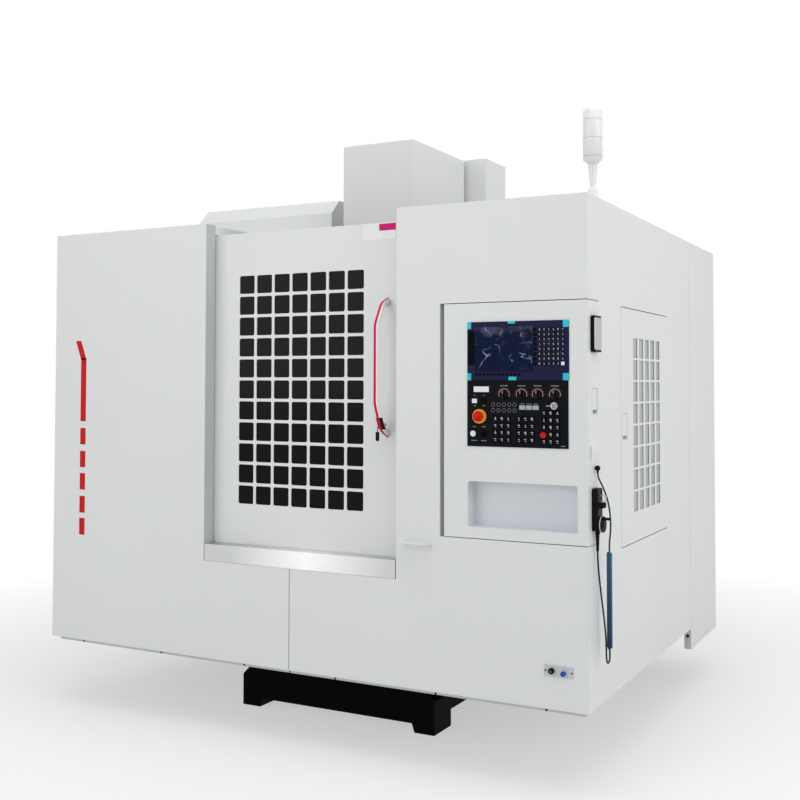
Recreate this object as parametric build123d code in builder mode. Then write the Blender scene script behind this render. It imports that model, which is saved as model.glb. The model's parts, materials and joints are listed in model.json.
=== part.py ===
from build123d import *
import math
import os

os.makedirs("parts", exist_ok=True)

# Vertical machining centre: C-frame with a cross table, an arm-type tool changer, a sheet-metal
# enclosure with one sliding door, and a control box that swings out on the right front corner.
# Millimetres. X runs to the operator's right, Y to the rear, Z up from the floor.
# The origin is the centre of the four anchor holes in the bed, at floor level.

# Enclosure
enclosure_width = 2600.0
enclosure_depth = 2120.0
enclosure_top = 2179.0
skirt_bottom = 307.0
sheet = 3.0
seam = 3.0
door_opening_left = -420.0
door_opening_right = 519.0
lower_seam_x = 21.0
return_depth = 66.0
lip_height = 12.0
lip_setback = 10.0
corner_plate_bottom = 209.0
corner_plate_depth = 561.0
corner_flange = 33.0
roof_opening_rear = 1640.0

# Running and assembly clearances
fit = 0.3
plate_gap = 0.5
pan_clearance = 2.0

# Bed and column castings
bed_setback = 396.0
bed_length = 1508.0
bed_width = 890.0
bed_top = 470.0
foot_width = 95.0
foot_height = 38.0
beam_depth = 165.0
beam_width = 986.0
beam_top = 141.0
anchor_radius = 12.0
anchor_inset = 32.0
way_channel_width = 180.0
way_channel_depth = 90.0
column_setback = 1480.0
column_depth = 300.0
column_width = 600.0
column_top = 2300.0
column_neck_depth = 158.0
column_channel_width = 220.0
column_channel_depth = 90.0

# Linear guides, screws and feed motors
rail_width = 34.0
rail_height = 30.0
rail_waist = 3.0
block_width = 70.0
block_length = 110.0
block_height = 44.0
screw_radius = 16.0
nut_radius = 34.0
motor_side = 130.0
motor_length = 200.0
y_rail_spacing = 620.0
z_rail_spacing = 380.0
x_rail_spacing = 300.0
y_screw_z = 440.0
z_screw_setback = 1512.0

# Spindle, saddle, table and headstock
spindle_setback = 890.0
spindle_nose_z = 1570.0
y_travel = 500.0
x_travel = 800.0
z_travel = 550.0
saddle_length = 1200.0
saddle_depth = 420.0
saddle_height = 160.0
table_length = 1000.0
table_depth = 500.0
table_thickness = 90.0
table_top = 900.0
slot_width = 18.0
slot_depth = 20.0
slot_foot_width = 30.0
slot_foot_depth = 14.0
slot_pitch = 80.0
slot_count = 5
head_width = 300.0
head_bottom_z = 1640.0
head_top_z = 2180.0
slide_plate_width = 460.0
slide_plate_thickness = 22.0
head_cover_front = 780.0
head_cover_rear = 1356.0
head_cover_width = 384.0
head_cover_bottom = 1690.0
head_cover_top = 2643.0
spindle_radius = 45.0
cartridge_radius = 95.0
column_cover_front = 1379.0
column_cover_rear = 1642.0
column_cover_width = 612.0
column_cover_bottom = 2100.0
column_cover_top = 2651.0

# Telescopic way covers
way_cover_width = 840.0
way_cover_top = 663.0
way_cover_length = 265.0
z_cover_width = 472.0
z_cover_setback = 1400.0
z_cover_length = 350.0

# Tool changer
magazine_x = -700.0
magazine_z = 1900.0
magazine_setback = 1216.0
pocket_count = 24
pocket_circle_radius = 300.0
pocket_radius = 32.0
pocket_length = 126.0
holder_radius = 22.0
arm_radius = 364.0
arm_setback = 990.0
arm_x = -350.0
arm_thickness = 35.0
arm_clearance = 10.0
hood_left = -1297.0
hood_right = -431.0
hood_front = 1060.0
hood_front_top = 2376.0
hood_top = 2451.0

# Sliding door
door_setback = 70.0
door_bottom = 770.0
door_top = 2136.0
door_lap = 16.0
door_flange = 35.0
window_columns = 7
window_rows = 11
window_cell = 78.0
window_pitch = 90.5
window_corner = 8.0
window_centre_x = 20.5
window_centre_z = 1458.5
door_travel = 840.0
handle_x = 442.0
handle_radius = 13.0
handle_bow = 97.0
handle_top_z = 1818.0
handle_bottom_z = 1282.0
sill_bottom = 721.0
sill_top = 794.0

# Control box on the right front corner
box_left = 727.0
box_bottom = 903.0
box_top = 1790.0
box_depth = 125.0
box_wall = 2.0
box_gap_left = 18.0
console_left = 826.0
console_right = 1230.0
screen_bottom = 1498.0
screen_top = 1718.0
keys_right = 1227.0
keys_bottom = 1249.0
console_proud = 3.0
console_body_depth = 60.0
tray_right = 1260.0
tray_bottom = 945.0
tray_top = 1117.0
tray_depth = 60.0
selector_z = 1445.0
selector_radius = 17.0
selector_height = 17.0
stop_x = 878.0
stop_z = 1362.0

# Right side door
side_door_front = 413.0
side_door_rear = 1120.0
side_door_bottom = 845.0
side_door_top = 1788.0
grille_front = 585.0
grille_bottom = 966.0
grille_columns = 5
grille_rows = 8
grille_slot_width = 63.0
grille_slot_height = 80.0
grille_pitch_y = 88.0
grille_pitch_z = 89.4

# Hand pulse unit and its curly cord
pulse_front = 36.0
pulse_width = 56.0
pulse_thickness = 22.0
pulse_bottom = 953.0
pulse_top = 1107.0
pulse_standoff = 2.0
wheel_z = 977.0
wheel_radius = 29.0
wheel_thickness = 14.0
cord_radius = 3.25
coil_radius = 11.0
coil_bottom = 516.0
coil_top = 880.0

# Rear cabinet
cabinet_width = 900.0
cabinet_bottom = 560.0
cabinet_top = 2080.0

half_width = enclosure_width / 2
front_y = -(bed_length / 2 + bed_setback)
rear_y = front_y + enclosure_depth


def back(distance):
    """Y of a place that lies this far behind the enclosure's front plane."""
    return front_y + distance


def facing_front(y):
    """Sketch plane with X and Z as its axes; pushing out goes to the front."""
    return Plane((0, y, 0), x_dir=(1, 0, 0), z_dir=(0, -1, 0))


def facing_right(x):
    """Sketch plane with Y and Z as its axes; pushing out goes to the right."""
    return Plane((x, 0, 0), x_dir=(0, 1, 0), z_dir=(1, 0, 0))


def level(z):
    """Sketch plane with X and Y as its axes; pushing out goes up."""
    return Plane.XY.offset(z)


def block(plane, a0, a1, b0, b1, amount, mode=Mode.ADD, corner=0.0):
    """A rectangle given by its edges, pushed out of a plane."""
    with BuildSketch(plane) as face:
        with Locations(((a0 + a1) / 2, (b0 + b1) / 2)):
            if corner > 0:
                RectangleRounded(a1 - a0, b1 - b0, corner)
            else:
                Rectangle(a1 - a0, b1 - b0)
    extrude(face.sketch, amount=amount, mode=mode)


def box(x0, x1, y0, y1, z0, z1, mode=Mode.ADD):
    """A block given by its six faces."""
    block(level(z0), x0, x1, y0, y1, z1 - z0, mode)


def disc(plane, a, b, radius, amount, mode=Mode.ADD):
    """A circle pushed out of a plane."""
    with BuildSketch(plane) as face:
        with Locations((a, b)):
            Circle(radius)
    extrude(face.sketch, amount=amount, mode=mode)


def profile(plane, points, amount, mode=Mode.ADD):
    """A closed outline pushed out of a plane."""
    with BuildSketch(plane) as face:
        with BuildLine():
            Polyline(*points, close=True)
        make_face()
    extrude(face.sketch, amount=amount, mode=mode)


def rail(plane, across, base, length, rise=1):
    """A guide rail: a head over a narrower waist, standing on its base."""
    half = rail_width / 2
    waist = half - rail_waist
    side = [
        (half, 0),
        (half, rail_height * 0.33),
        (waist, rail_height * 0.5),
        (half, rail_height * 0.67),
        (half, rail_height),
    ]
    right = [(across + a, base + rise * b) for a, b in side]
    left = [(across - a, base + rise * b) for a, b in reversed(side)]
    profile(plane, right + left, length)


def guide_block(plane, across, base, length, rise=1):
    """A carriage round a rail, open towards the rail's base."""
    half = block_width / 2
    slot = rail_width / 2 + fit
    low = base + rise * (rail_height + 14 - block_height + 6)
    roof = base + rise * (rail_height + fit)
    top = base + rise * (rail_height + 20)
    points = [
        (across - half, low),
        (across - slot, low),
        (across - slot, roof),
        (across + slot, roof),
        (across + slot, low),
        (across + half, low),
        (across + half, top),
        (across - half, top),
    ]
    profile(plane, points, length)


def cap_middle(radius, rise):
    """Halfway point of a cap's arc: its distance from the axis, and its drop below the top."""
    sphere = (radius**2 + rise**2) / (2 * rise)
    half_turn = math.asin(radius / sphere) / 2
    return sphere * math.sin(half_turn), sphere * (1 - math.cos(half_turn))


def finish(piece, name):
    """Labels a finished piece and writes its file."""
    piece.part.label = name
    export_step(piece.part, f"parts/{name}.step")


# Bed: a black casting on four feet, with a foot beam at each end and a channel for the feed screw.
bed_front = -bed_length / 2
bed_rear = bed_length / 2
bed_half = bed_width / 2
beam_half = beam_width / 2
beam_slope = beam_half - bed_half
anchor_x = beam_half - anchor_inset
anchor_y = bed_length / 2 - beam_depth / 2
side_pocket_depth = 20.0
side_pocket_length = 300.0

with BuildPart() as bed_casting:
    box(-bed_half, bed_half, bed_front, bed_rear, foot_height, bed_top)
    beam_outline = [
        (-beam_half, foot_height),
        (beam_half, foot_height),
        (beam_half, beam_top),
        (bed_half, beam_top + beam_slope),
        (-bed_half, beam_top + beam_slope),
        (-beam_half, beam_top),
    ]
    for beam_rear in (bed_front + beam_depth, bed_rear):
        profile(facing_front(beam_rear), beam_outline, beam_depth)
        for side in (-1, 1):
            outer = side * beam_half
            inner = side * (beam_half - foot_width)
            foot_outline = [
                (outer, 0),
                (inner, 0),
                (inner - side * foot_height / 3, foot_height),
                (outer, foot_height),
            ]
            profile(facing_front(beam_rear), foot_outline, beam_depth)
    channel_half = way_channel_width / 2
    channel_end = back(column_setback - 60)
    box(-channel_half, channel_half, bed_front, channel_end, bed_top - way_channel_depth, bed_top, Mode.SUBTRACT)
    for side in (-1, 1):
        for pocket_y in (-1, 0, 1):
            centre = pocket_y * (side_pocket_length + 60)
            plane = facing_right(bed_half - side_pocket_depth if side > 0 else -bed_half)
            y0 = centre - side_pocket_length / 2
            block(plane, y0, y0 + side_pocket_length, 220, 400, side_pocket_depth, Mode.SUBTRACT, 30)
    with Locations((0, 0, 0)):
        with GridLocations(2 * anchor_x, 2 * anchor_y, 2, 2):
            Cylinder(
                anchor_radius,
                beam_top + beam_slope,
                align=(Align.CENTER, Align.CENTER, Align.MIN),
                mode=Mode.SUBTRACT,
            )
finish(bed_casting, "bed_casting")

# Column: a box casting that tapers to the rear, with a channel for the vertical feed screw.
column_front = back(column_setback)
column_rear = column_front + column_depth
column_half = column_width / 2
neck_rear = column_front + column_neck_depth
column_outline = [
    (column_front, bed_top),
    (column_rear, bed_top),
    (column_rear, 1200),
    (neck_rear, 2100),
    (neck_rear, column_top),
    (column_front, column_top),
]

with BuildPart() as column_casting:
    profile(facing_right(-column_half), column_outline, column_width)
    column_slot = column_channel_width / 2
    box(
        -column_slot,
        column_slot,
        column_front,
        column_front + column_channel_depth,
        bed_top + 30,
        column_top,
        Mode.SUBTRACT,
    )
    for side in (-1, 1):
        recess = facing_right(column_half - side_pocket_depth if side > 0 else -column_half)
        for low, high, depth in ((560, 1160, 240), (1230, 1640, 160), (1710, 2060, 110)):
            y0 = column_front + 30
            block(recess, y0, y0 + depth - 30, low, high, side_pocket_depth, Mode.SUBTRACT, 25)
finish(column_casting, "column_casting")

# Linear rails on the bed and on the column.
y_rail_front = back(spindle_setback - y_travel / 2 - saddle_depth / 2 + 15)
y_rail_rear = back(spindle_setback + y_travel / 2 + saddle_depth / 2)
z_rail_bottom = 1080.0
z_rail_top = 2290.0

with BuildPart() as guide_rails:
    for side in (-1, 1):
        rail(facing_front(y_rail_rear), side * y_rail_spacing / 2, bed_top, y_rail_rear - y_rail_front)
        rail(level(z_rail_bottom), side * z_rail_spacing / 2, column_front, z_rail_top - z_rail_bottom, -1)
finish(guide_rails, "guide_rails")

# Feed drives of the bed and the column: motor, bearing block and screw.
bearing_width = 150.0
z_screw_y = back(z_screw_setback)
z_motor_bottom = column_top + 30
z_motor_length = 280.0
z_screw_bottom = 1120.0
bed_channel_floor = bed_top - way_channel_depth

with BuildPart() as feed_drives:
    disc(facing_front(channel_end - 20), 0, y_screw_z, screw_radius, channel_end - 20 - bed_front)
    block(facing_front(channel_end), -70, 70, bed_channel_floor, y_screw_z + 45, 30)
    block(facing_front(bed_front + 34), -bearing_width / 2, bearing_width / 2, bed_channel_floor, y_screw_z + 60, 34)
    half_motor = motor_side / 2
    block(
        facing_front(bed_front),
        -half_motor,
        half_motor,
        y_screw_z - half_motor,
        y_screw_z + half_motor,
        motor_length,
        Mode.ADD,
        12,
    )
    disc(level(z_screw_bottom), 0, z_screw_y, screw_radius, column_top - z_screw_bottom)
    block(level(z_screw_bottom - 30), -70, 70, z_screw_y - 40, column_front + column_channel_depth, 60)
    block(level(column_top), -150, 150, column_front, neck_rear, 30, Mode.ADD, 8)
    block(
        level(z_motor_bottom),
        -half_motor,
        half_motor,
        z_screw_y - half_motor,
        z_screw_y + half_motor,
        z_motor_length,
        Mode.ADD,
        12,
    )
finish(feed_drives, "feed_drives")

# Column cover: a sheet cap round the column's head and its feed motor, open to the front and below.
with BuildPart() as column_cover:
    cover_half = column_cover_width / 2
    y0 = back(column_cover_front)
    y1 = back(column_cover_rear)
    box(-cover_half, cover_half, y0, y1, column_cover_bottom, column_cover_top)
    box(
        -cover_half + sheet,
        cover_half - sheet,
        y0,
        y1 - sheet,
        column_cover_bottom,
        column_cover_top - sheet,
        Mode.SUBTRACT,
    )
    for side in (-1, 1):
        lug_outer = side * (cover_half - sheet)
        lug_inner = side * column_half
        box(
            min(lug_outer, lug_inner),
            max(lug_outer, lug_inner),
            column_front + 20,
            column_front + 80,
            column_cover_bottom + 60,
            column_cover_bottom + 120,
        )
finish(column_cover, "column_cover")

# Telescopic way covers. Each stage is a folded channel that slides inside the one above it.
saddle_front = back(spindle_setback - saddle_depth / 2)
saddle_bottom = bed_top + rail_height + 20
stage_step = sheet + plate_gap


def y_way_cover(stage, y0, y1, side_bottom):
    """One stage over the bed's rails, open below."""
    half = way_cover_width / 2 - stage * stage_step
    top = way_cover_top - stage * stage_step
    channel = [
        (-half, side_bottom),
        (-half, top),
        (half, top),
        (half, side_bottom),
        (half - sheet, side_bottom),
        (half - sheet, top - sheet),
        (sheet - half, top - sheet),
        (sheet - half, side_bottom),
    ]
    profile(facing_front(y1), channel, y1 - y0)


def z_way_cover(stage, z0, z1, rear):
    """One stage in front of the column's rails, open to the rear."""
    half = z_cover_width / 2 - stage * stage_step
    y0 = back(z_cover_setback) + stage * stage_step
    channel = [
        (-half, rear),
        (-half, y0),
        (half, y0),
        (half, rear),
        (half - sheet, rear),
        (half - sheet, y0 + sheet),
        (sheet - half, y0 + sheet),
        (sheet - half, rear),
    ]
    profile(level(z0), channel, z1 - z0)


pan_top = saddle_bottom - pan_clearance
folded_front = saddle_front - y_travel / 2 - way_cover_length
fixed_cover_front = folded_front + 1
fixed_cover_rear = folded_front + way_cover_length - 4
middle_cover_front = folded_front + y_travel / 4 + 1
middle_cover_rear = middle_cover_front + way_cover_length - 3
z_fixed_bottom = 700.0
z_middle_bottom = 1010.0

with BuildPart() as fixed_way_covers:
    y_way_cover(2, fixed_cover_front, fixed_cover_rear, pan_top)
    end_half = way_cover_width / 2 - 2 * stage_step - sheet
    end_top = way_cover_top - 2 * stage_step - sheet
    box(-end_half, end_half, fixed_cover_front, fixed_cover_front + sheet, pan_top, end_top)
    z_way_cover(2, z_fixed_bottom, z_fixed_bottom + z_cover_length + 10, column_front)
with BuildPart() as way_cover_y_middle:
    y_way_cover(1, middle_cover_front, middle_cover_rear, saddle_bottom + 30)
with BuildPart() as way_cover_z_middle:
    z_way_cover(1, z_middle_bottom, z_middle_bottom + z_cover_length, column_front - rail_height - 10)
finish(fixed_way_covers, "way_covers_fixed")
finish(way_cover_y_middle, "way_cover_y_middle")
finish(way_cover_z_middle, "way_cover_z_middle")

# Saddle with its carriages, the nut of the bed's screw, and the first way cover on its front.
spindle_y = back(spindle_setback)
saddle_top = saddle_bottom + saddle_height
x_screw_z = saddle_top - 20
saddle_half = saddle_length / 2
carriage_offset = 75.0

with BuildPart() as saddle:
    saddle_outline = [
        (-saddle_half, saddle_bottom + 60),
        (-saddle_half + 120, saddle_bottom),
        (saddle_half - 120, saddle_bottom),
        (saddle_half, saddle_bottom + 60),
        (saddle_half, saddle_top),
        (-saddle_half, saddle_top),
    ]
    profile(facing_front(spindle_y + saddle_depth / 2), saddle_outline, saddle_depth)
    box(-saddle_half, saddle_half, spindle_y - 45, spindle_y + 45, saddle_top - 55, saddle_top, Mode.SUBTRACT)
    for side in (-1, 1):
        for end in (-1, 1):
            rear_face = spindle_y + end * (carriage_offset + block_length / 2) + block_length / 2
            guide_block(facing_front(rear_face), side * y_rail_spacing / 2, bed_top, block_length)
    block(facing_front(spindle_y + 30), -60, 60, y_screw_z - 45, saddle_bottom, 60)
    disc(facing_front(spindle_y + 30), 0, y_screw_z, screw_radius + fit, 60, Mode.SUBTRACT)
    for side in (-1, 1):
        rail_y = spindle_y + side * x_rail_spacing / 2
        rail(facing_right(-saddle_half + 2), rail_y, saddle_top, saddle_length - 4)
    y_way_cover(0, saddle_front - way_cover_length, saddle_front, saddle_bottom + 40)
finish(saddle, "saddle")

with BuildPart() as x_feed_drive:
    disc(facing_right(-saddle_half + 30), spindle_y, x_screw_z, screw_radius, saddle_length - 30)
    block(facing_right(-saddle_half), spindle_y - 40, spindle_y + 40, saddle_top - 55, saddle_top + 15, 30)
    block(facing_right(saddle_half), spindle_y - 75, spindle_y + 75, saddle_bottom + 70, saddle_top + 40, 20)
    block(
        facing_right(saddle_half + 20),
        spindle_y - half_motor,
        spindle_y + half_motor,
        x_screw_z - half_motor,
        x_screw_z + half_motor,
        motor_length,
        Mode.ADD,
        12,
    )
finish(x_feed_drive, "x_feed_drive")

# Work table with T-slots, its carriages and the nut of the saddle's screw.
table_half = table_length / 2
table_underside = table_top - table_thickness
table_body_bottom = saddle_top + rail_height + 20

with BuildPart() as work_table:
    box(
        -table_half,
        table_half,
        spindle_y - table_depth / 2,
        spindle_y + table_depth / 2,
        table_underside,
        table_top,
    )
    box(-350, 350, spindle_y - 200, spindle_y + 200, table_body_bottom, table_underside)
    for index in range(slot_count):
        slot_y = spindle_y + (index - (slot_count - 1) / 2) * slot_pitch
        foot_half = slot_foot_width / 2
        neck_half = slot_width / 2
        neck_z = table_top - slot_depth
        foot_z = neck_z - slot_foot_depth
        t_slot = [
            (slot_y - neck_half, table_top),
            (slot_y - neck_half, neck_z),
            (slot_y - foot_half, neck_z),
            (slot_y - foot_half, foot_z),
            (slot_y + foot_half, foot_z),
            (slot_y + foot_half, neck_z),
            (slot_y + neck_half, neck_z),
            (slot_y + neck_half, table_top),
        ]
        profile(facing_right(-table_half), t_slot, table_length, Mode.SUBTRACT)
    for side in (-1, 1):
        for end in (-1, 1):
            start_x = end * (carriage_offset + block_length / 2) - block_length / 2
            guide_block(facing_right(start_x), spindle_y + side * x_rail_spacing / 2, saddle_top, block_length)
    block(facing_right(-40), spindle_y - 38, spindle_y + 38, x_screw_z - 28, table_body_bottom, 80)
    disc(facing_right(-40), spindle_y, x_screw_z, screw_radius + fit, 80, Mode.SUBTRACT)
finish(work_table, "work_table")

# Headstock: slide plate with carriages, cast nose, motor on top, screw nut and upper way cover.
head_half = head_width / 2
head_front = back(head_cover_front + 20)
slide_front = back(z_cover_setback + 16)
slide_rear = slide_front + slide_plate_thickness
head_outline = [
    (head_front, head_bottom_z + 90),
    (head_front + 40, head_bottom_z),
    (spindle_y + 130, head_bottom_z),
    (slide_front, head_bottom_z + 110),
    (slide_front, head_top_z),
    (head_front, head_top_z),
]
spindle_motor_half = 120.0
spindle_motor_top = 2600.0
slide_half = slide_plate_width / 2
slide_bottom = head_bottom_z + 10
z_block_offset = 140.0

with BuildPart() as headstock:
    profile(facing_right(-head_half), head_outline, head_width)
    box(-slide_half, slide_half, slide_front, slide_rear, slide_bottom, head_top_z + 10)
    head_middle = (slide_bottom + head_top_z) / 2
    for side in (-1, 1):
        for end in (-1, 1):
            low = head_middle + end * z_block_offset - block_length / 2
            guide_block(level(low), side * z_rail_spacing / 2, column_front, block_length, -1)
    block(level(head_middle - 40), -60, 60, slide_rear, z_screw_y + 32, 80)
    disc(level(head_middle - 40), 0, z_screw_y, screw_radius + fit, 80, Mode.SUBTRACT)
    block(
        level(head_top_z),
        -spindle_motor_half,
        spindle_motor_half,
        spindle_y - spindle_motor_half + 20,
        spindle_y + spindle_motor_half + 20,
        spindle_motor_top - head_top_z,
        Mode.ADD,
        30,
    )
    disc(level(spindle_nose_z + 30), 0, spindle_y, cartridge_radius, head_bottom_z - spindle_nose_z - 30)
    disc(
        level(spindle_nose_z + 30),
        0,
        spindle_y,
        spindle_radius + fit,
        head_top_z - 60 - spindle_nose_z - 30,
        Mode.SUBTRACT,
    )
    z_way_cover(0, slide_bottom - z_cover_length, slide_bottom, slide_front + sheet)
    box(-slide_half, slide_half, back(z_cover_setback), slide_front, slide_bottom, slide_bottom + sheet)
finish(headstock, "headstock")

# Head cover: a tall folded shell that rides with the headstock.
with BuildPart() as head_cover:
    cover_half = head_cover_width / 2
    y0 = back(head_cover_front)
    y1 = back(head_cover_rear)
    box(-cover_half, cover_half, y0, y1, head_cover_bottom, head_cover_top)
    box(-cover_half + 2, cover_half - 2, y0 + 2, y1 - 2, head_cover_bottom, head_cover_top - 2, Mode.SUBTRACT)
    box(-cover_half + 2, cover_half - 2, y1 - 2, y1, head_cover_bottom, head_top_z + 20, Mode.SUBTRACT)
    for side in (-1, 1):
        inner = side * head_half
        outer = side * (cover_half - 2)
        box(min(inner, outer), max(inner, outer), spindle_y, spindle_y + 60, 1900, 1960)
finish(head_cover, "head_cover")

# Spindle: nose with a steep taper bore and two drive keys, on a plain shaft.
taper_mouth = 22.2
taper_depth = 65.0
taper_end = taper_mouth - taper_depth * 7 / 48
spindle_top_z = head_top_z - 65
nose_radius = 44.5
nose_flange = 60.0

with BuildPart() as spindle:
    with BuildSketch(Plane((0, spindle_y, 0), x_dir=(1, 0, 0), z_dir=(0, -1, 0))) as spindle_half:
        with BuildLine():
            Polyline(
                (taper_mouth, spindle_nose_z),
                (nose_radius, spindle_nose_z),
                (nose_radius + 4, spindle_nose_z + 6),
                (nose_flange, spindle_nose_z + 12),
                (nose_flange, spindle_nose_z + 29.5),
                (spindle_radius, spindle_nose_z + 29.5),
                (spindle_radius, spindle_top_z),
                (0, spindle_top_z),
                (0, spindle_nose_z + taper_depth + 12),
                (taper_end, spindle_nose_z + taper_depth),
                close=True,
            )
        make_face()
    revolve(spindle_half.sketch, Axis((0, spindle_y, 0), (0, 0, 1)))
    for side in (-1, 1):
        box(
            side * 34 - 8,
            side * 34 + 8,
            spindle_y - 8,
            spindle_y + 8,
            spindle_nose_z - 7,
            spindle_nose_z + 1,
        )
finish(spindle, "spindle")

# Tool changer: bracket with the arm's gearbox, the tool disc and the double gripper arm.
arm_y = back(arm_setback)
arm_top = spindle_nose_z - arm_clearance
arm_shaft_radius = 30.0
arm_shaft_length = 240.0
disc_front = back(magazine_setback)
disc_thickness = 20.0
disc_shaft_radius = 35.0
bracket_front = disc_front + disc_thickness + 26
bracket_thickness = 28.0
bracket_plate = 22.0

with BuildPart() as magazine_bracket:
    box(-column_half - bracket_plate, -column_half, back(920), neck_rear - 20, 1700, 2000)
    box(magazine_x - 180, -column_half, bracket_front, bracket_front + bracket_thickness, 1800, 2000)
    box(arm_x - 80, -column_half, arm_y - 70, arm_y + 70, arm_top + 20, 1900)
    disc(facing_front(bracket_front + bracket_thickness), magazine_x, magazine_z, 70, bracket_thickness + 14)
    disc(
        facing_front(bracket_front + bracket_thickness),
        magazine_x,
        magazine_z,
        disc_shaft_radius + fit,
        bracket_thickness + 14,
        Mode.SUBTRACT,
    )
    disc(level(arm_top + 20), arm_x, arm_y, arm_shaft_radius + fit, arm_shaft_length, Mode.SUBTRACT)
finish(magazine_bracket, "magazine_bracket")

with BuildPart() as tool_disc:
    disc(
        facing_front(disc_front + disc_thickness),
        magazine_x,
        magazine_z,
        pocket_circle_radius + 20,
        disc_thickness,
    )
    disc(
        facing_front(bracket_front + bracket_thickness - 5),
        magazine_x,
        magazine_z,
        disc_shaft_radius,
        bracket_front + bracket_thickness - 5 - disc_front,
    )
    with BuildSketch(facing_front(disc_front)) as lightening:
        with Locations((magazine_x, magazine_z)):
            with PolarLocations(170, 6):
                Circle(45)
    extrude(lightening.sketch, amount=-disc_thickness, mode=Mode.SUBTRACT)
    with BuildSketch(facing_front(disc_front + disc_thickness)) as pockets:
        with Locations((magazine_x, magazine_z)):
            with PolarLocations(pocket_circle_radius, pocket_count, start_angle=-90):
                Circle(pocket_radius)
    extrude(pockets.sketch, amount=pocket_length)
    with BuildSketch(facing_front(disc_front + disc_thickness - pocket_length)) as holders:
        with Locations((magazine_x, magazine_z)):
            with PolarLocations(pocket_circle_radius, pocket_count, start_angle=-90):
                Circle(holder_radius)
    extrude(holders.sketch, amount=30)
finish(tool_disc, "tool_disc")

with BuildPart() as tool_arm:
    with BuildSketch(level(arm_top - arm_thickness)) as arm_shape:
        with Locations((arm_x, arm_y)):
            Circle(60)
            Rectangle(62, 2 * arm_radius)
        for end in (-1, 1):
            with Locations((arm_x, arm_y + end * arm_radius)):
                Circle(48)
        for end in (-1, 1):
            with Locations((arm_x, arm_y + end * arm_radius)):
                Circle(32, mode=Mode.SUBTRACT)
            with Locations((arm_x - end * 30, arm_y + end * arm_radius)):
                Rectangle(60, 46, mode=Mode.SUBTRACT)
    extrude(arm_shape.sketch, amount=arm_thickness)
finish(tool_arm, "tool_arm")

with BuildPart() as tool_arm_shaft:
    disc(level(arm_top), arm_x, arm_y, 52, 12)
    disc(level(arm_top + 12), arm_x, arm_y, arm_shaft_radius, arm_shaft_length - 12)
finish(tool_arm_shaft, "tool_arm_shaft")

# Front sheets. The left one is full height beside the door and low under it; the right one is
# the same the other way round, and is cut away for the control box.
door_y = back(door_setback)
front_back = back(sheet)


def bottom_lip(x0, x1):
    """The set-back lip that closes the skirt's lower edge."""
    box(x0, x1, back(sheet), back(lip_setback + sheet), skirt_bottom, skirt_bottom + sheet)
    box(x0, x1, back(lip_setback), back(lip_setback + sheet), skirt_bottom - lip_height, skirt_bottom)


with BuildPart() as front_panel_left:
    front_outline = [
        (-half_width, skirt_bottom),
        (lower_seam_x - seam / 2, skirt_bottom),
        (lower_seam_x - seam / 2, sill_bottom),
        (door_opening_left, sill_bottom),
        (door_opening_left, enclosure_top),
        (-half_width, enclosure_top),
    ]
    profile(facing_front(front_back), front_outline, sheet)
    box(
        door_opening_left - sheet,
        door_opening_left,
        front_back,
        back(return_depth),
        sill_bottom,
        enclosure_top,
    )
    bottom_lip(-half_width + 45, lower_seam_x - seam)
finish(front_panel_left, "front_panel_left")

box_opening_left = box_left - box_gap_left
with BuildPart() as front_panel_right:
    front_outline = [
        (lower_seam_x + seam / 2, skirt_bottom),
        (half_width, skirt_bottom),
        (half_width, box_bottom - seam),
        (box_opening_left, box_bottom - seam),
        (box_opening_left, box_top + seam),
        (half_width, box_top + seam),
        (half_width, enclosure_top),
        (door_opening_right, enclosure_top),
        (door_opening_right, sill_bottom),
        (lower_seam_x + seam / 2, sill_bottom),
    ]
    profile(facing_front(front_back), front_outline, sheet)
    box(
        door_opening_right,
        door_opening_right + sheet,
        front_back,
        back(return_depth),
        sill_bottom,
        enclosure_top,
    )
    box(
        box_opening_left - sheet,
        box_opening_left,
        front_back,
        back(box_depth + 10),
        box_bottom - seam,
        box_top + seam,
    )
    for z in (box_bottom - seam - sheet, box_top + seam):
        box(box_opening_left - sheet, half_width - sheet, front_back, back(box_depth + 10), z, z + sheet)
    bottom_lip(lower_seam_x + seam, half_width - 12)
    for hole_x, hole_z in ((1161, 447), (1206, 442)):
        disc(facing_front(front_back), hole_x, hole_z, 9, sheet, Mode.SUBTRACT)
finish(front_panel_right, "front_panel_right")

with BuildPart() as door_sill:
    x0 = door_opening_left + sheet
    x1 = door_opening_right - sheet
    box(x0, x1, back(0), back(2), sill_bottom + plate_gap, sill_top)
    box(x0, x1, back(0), back(return_depth), sill_top - 2, sill_top)
    box(x0, x1, back(return_depth - 2), back(return_depth), sill_top - 40, sill_top)
finish(door_sill, "door_sill")

# Side sheets. The right one frames the side door and stops short of the control box.
side_rear = back(enclosure_depth - corner_plate_depth - seam)

with BuildPart() as side_panel_left:
    box(-half_width, -half_width + sheet, front_back, side_rear, skirt_bottom, enclosure_top)
finish(side_panel_left, "side_panel_left")

with BuildPart() as side_panel_right:
    x0 = half_width - sheet
    box(x0, half_width, front_back, side_rear, skirt_bottom, enclosure_top)
    box(
        x0,
        half_width,
        front_back,
        back(box_depth + fit),
        box_bottom - seam,
        box_top + seam,
        Mode.SUBTRACT,
    )
    box(
        x0,
        half_width,
        back(side_door_front - seam),
        back(side_door_rear + fit),
        side_door_bottom - seam,
        side_door_top + seam,
        Mode.SUBTRACT,
    )
finish(side_panel_right, "side_panel_right")

# Rear panel and the two corner plates, which reach lower than the skirt.
cabinet_half = cabinet_width / 2
corner_front = rear_y - corner_plate_depth

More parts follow.
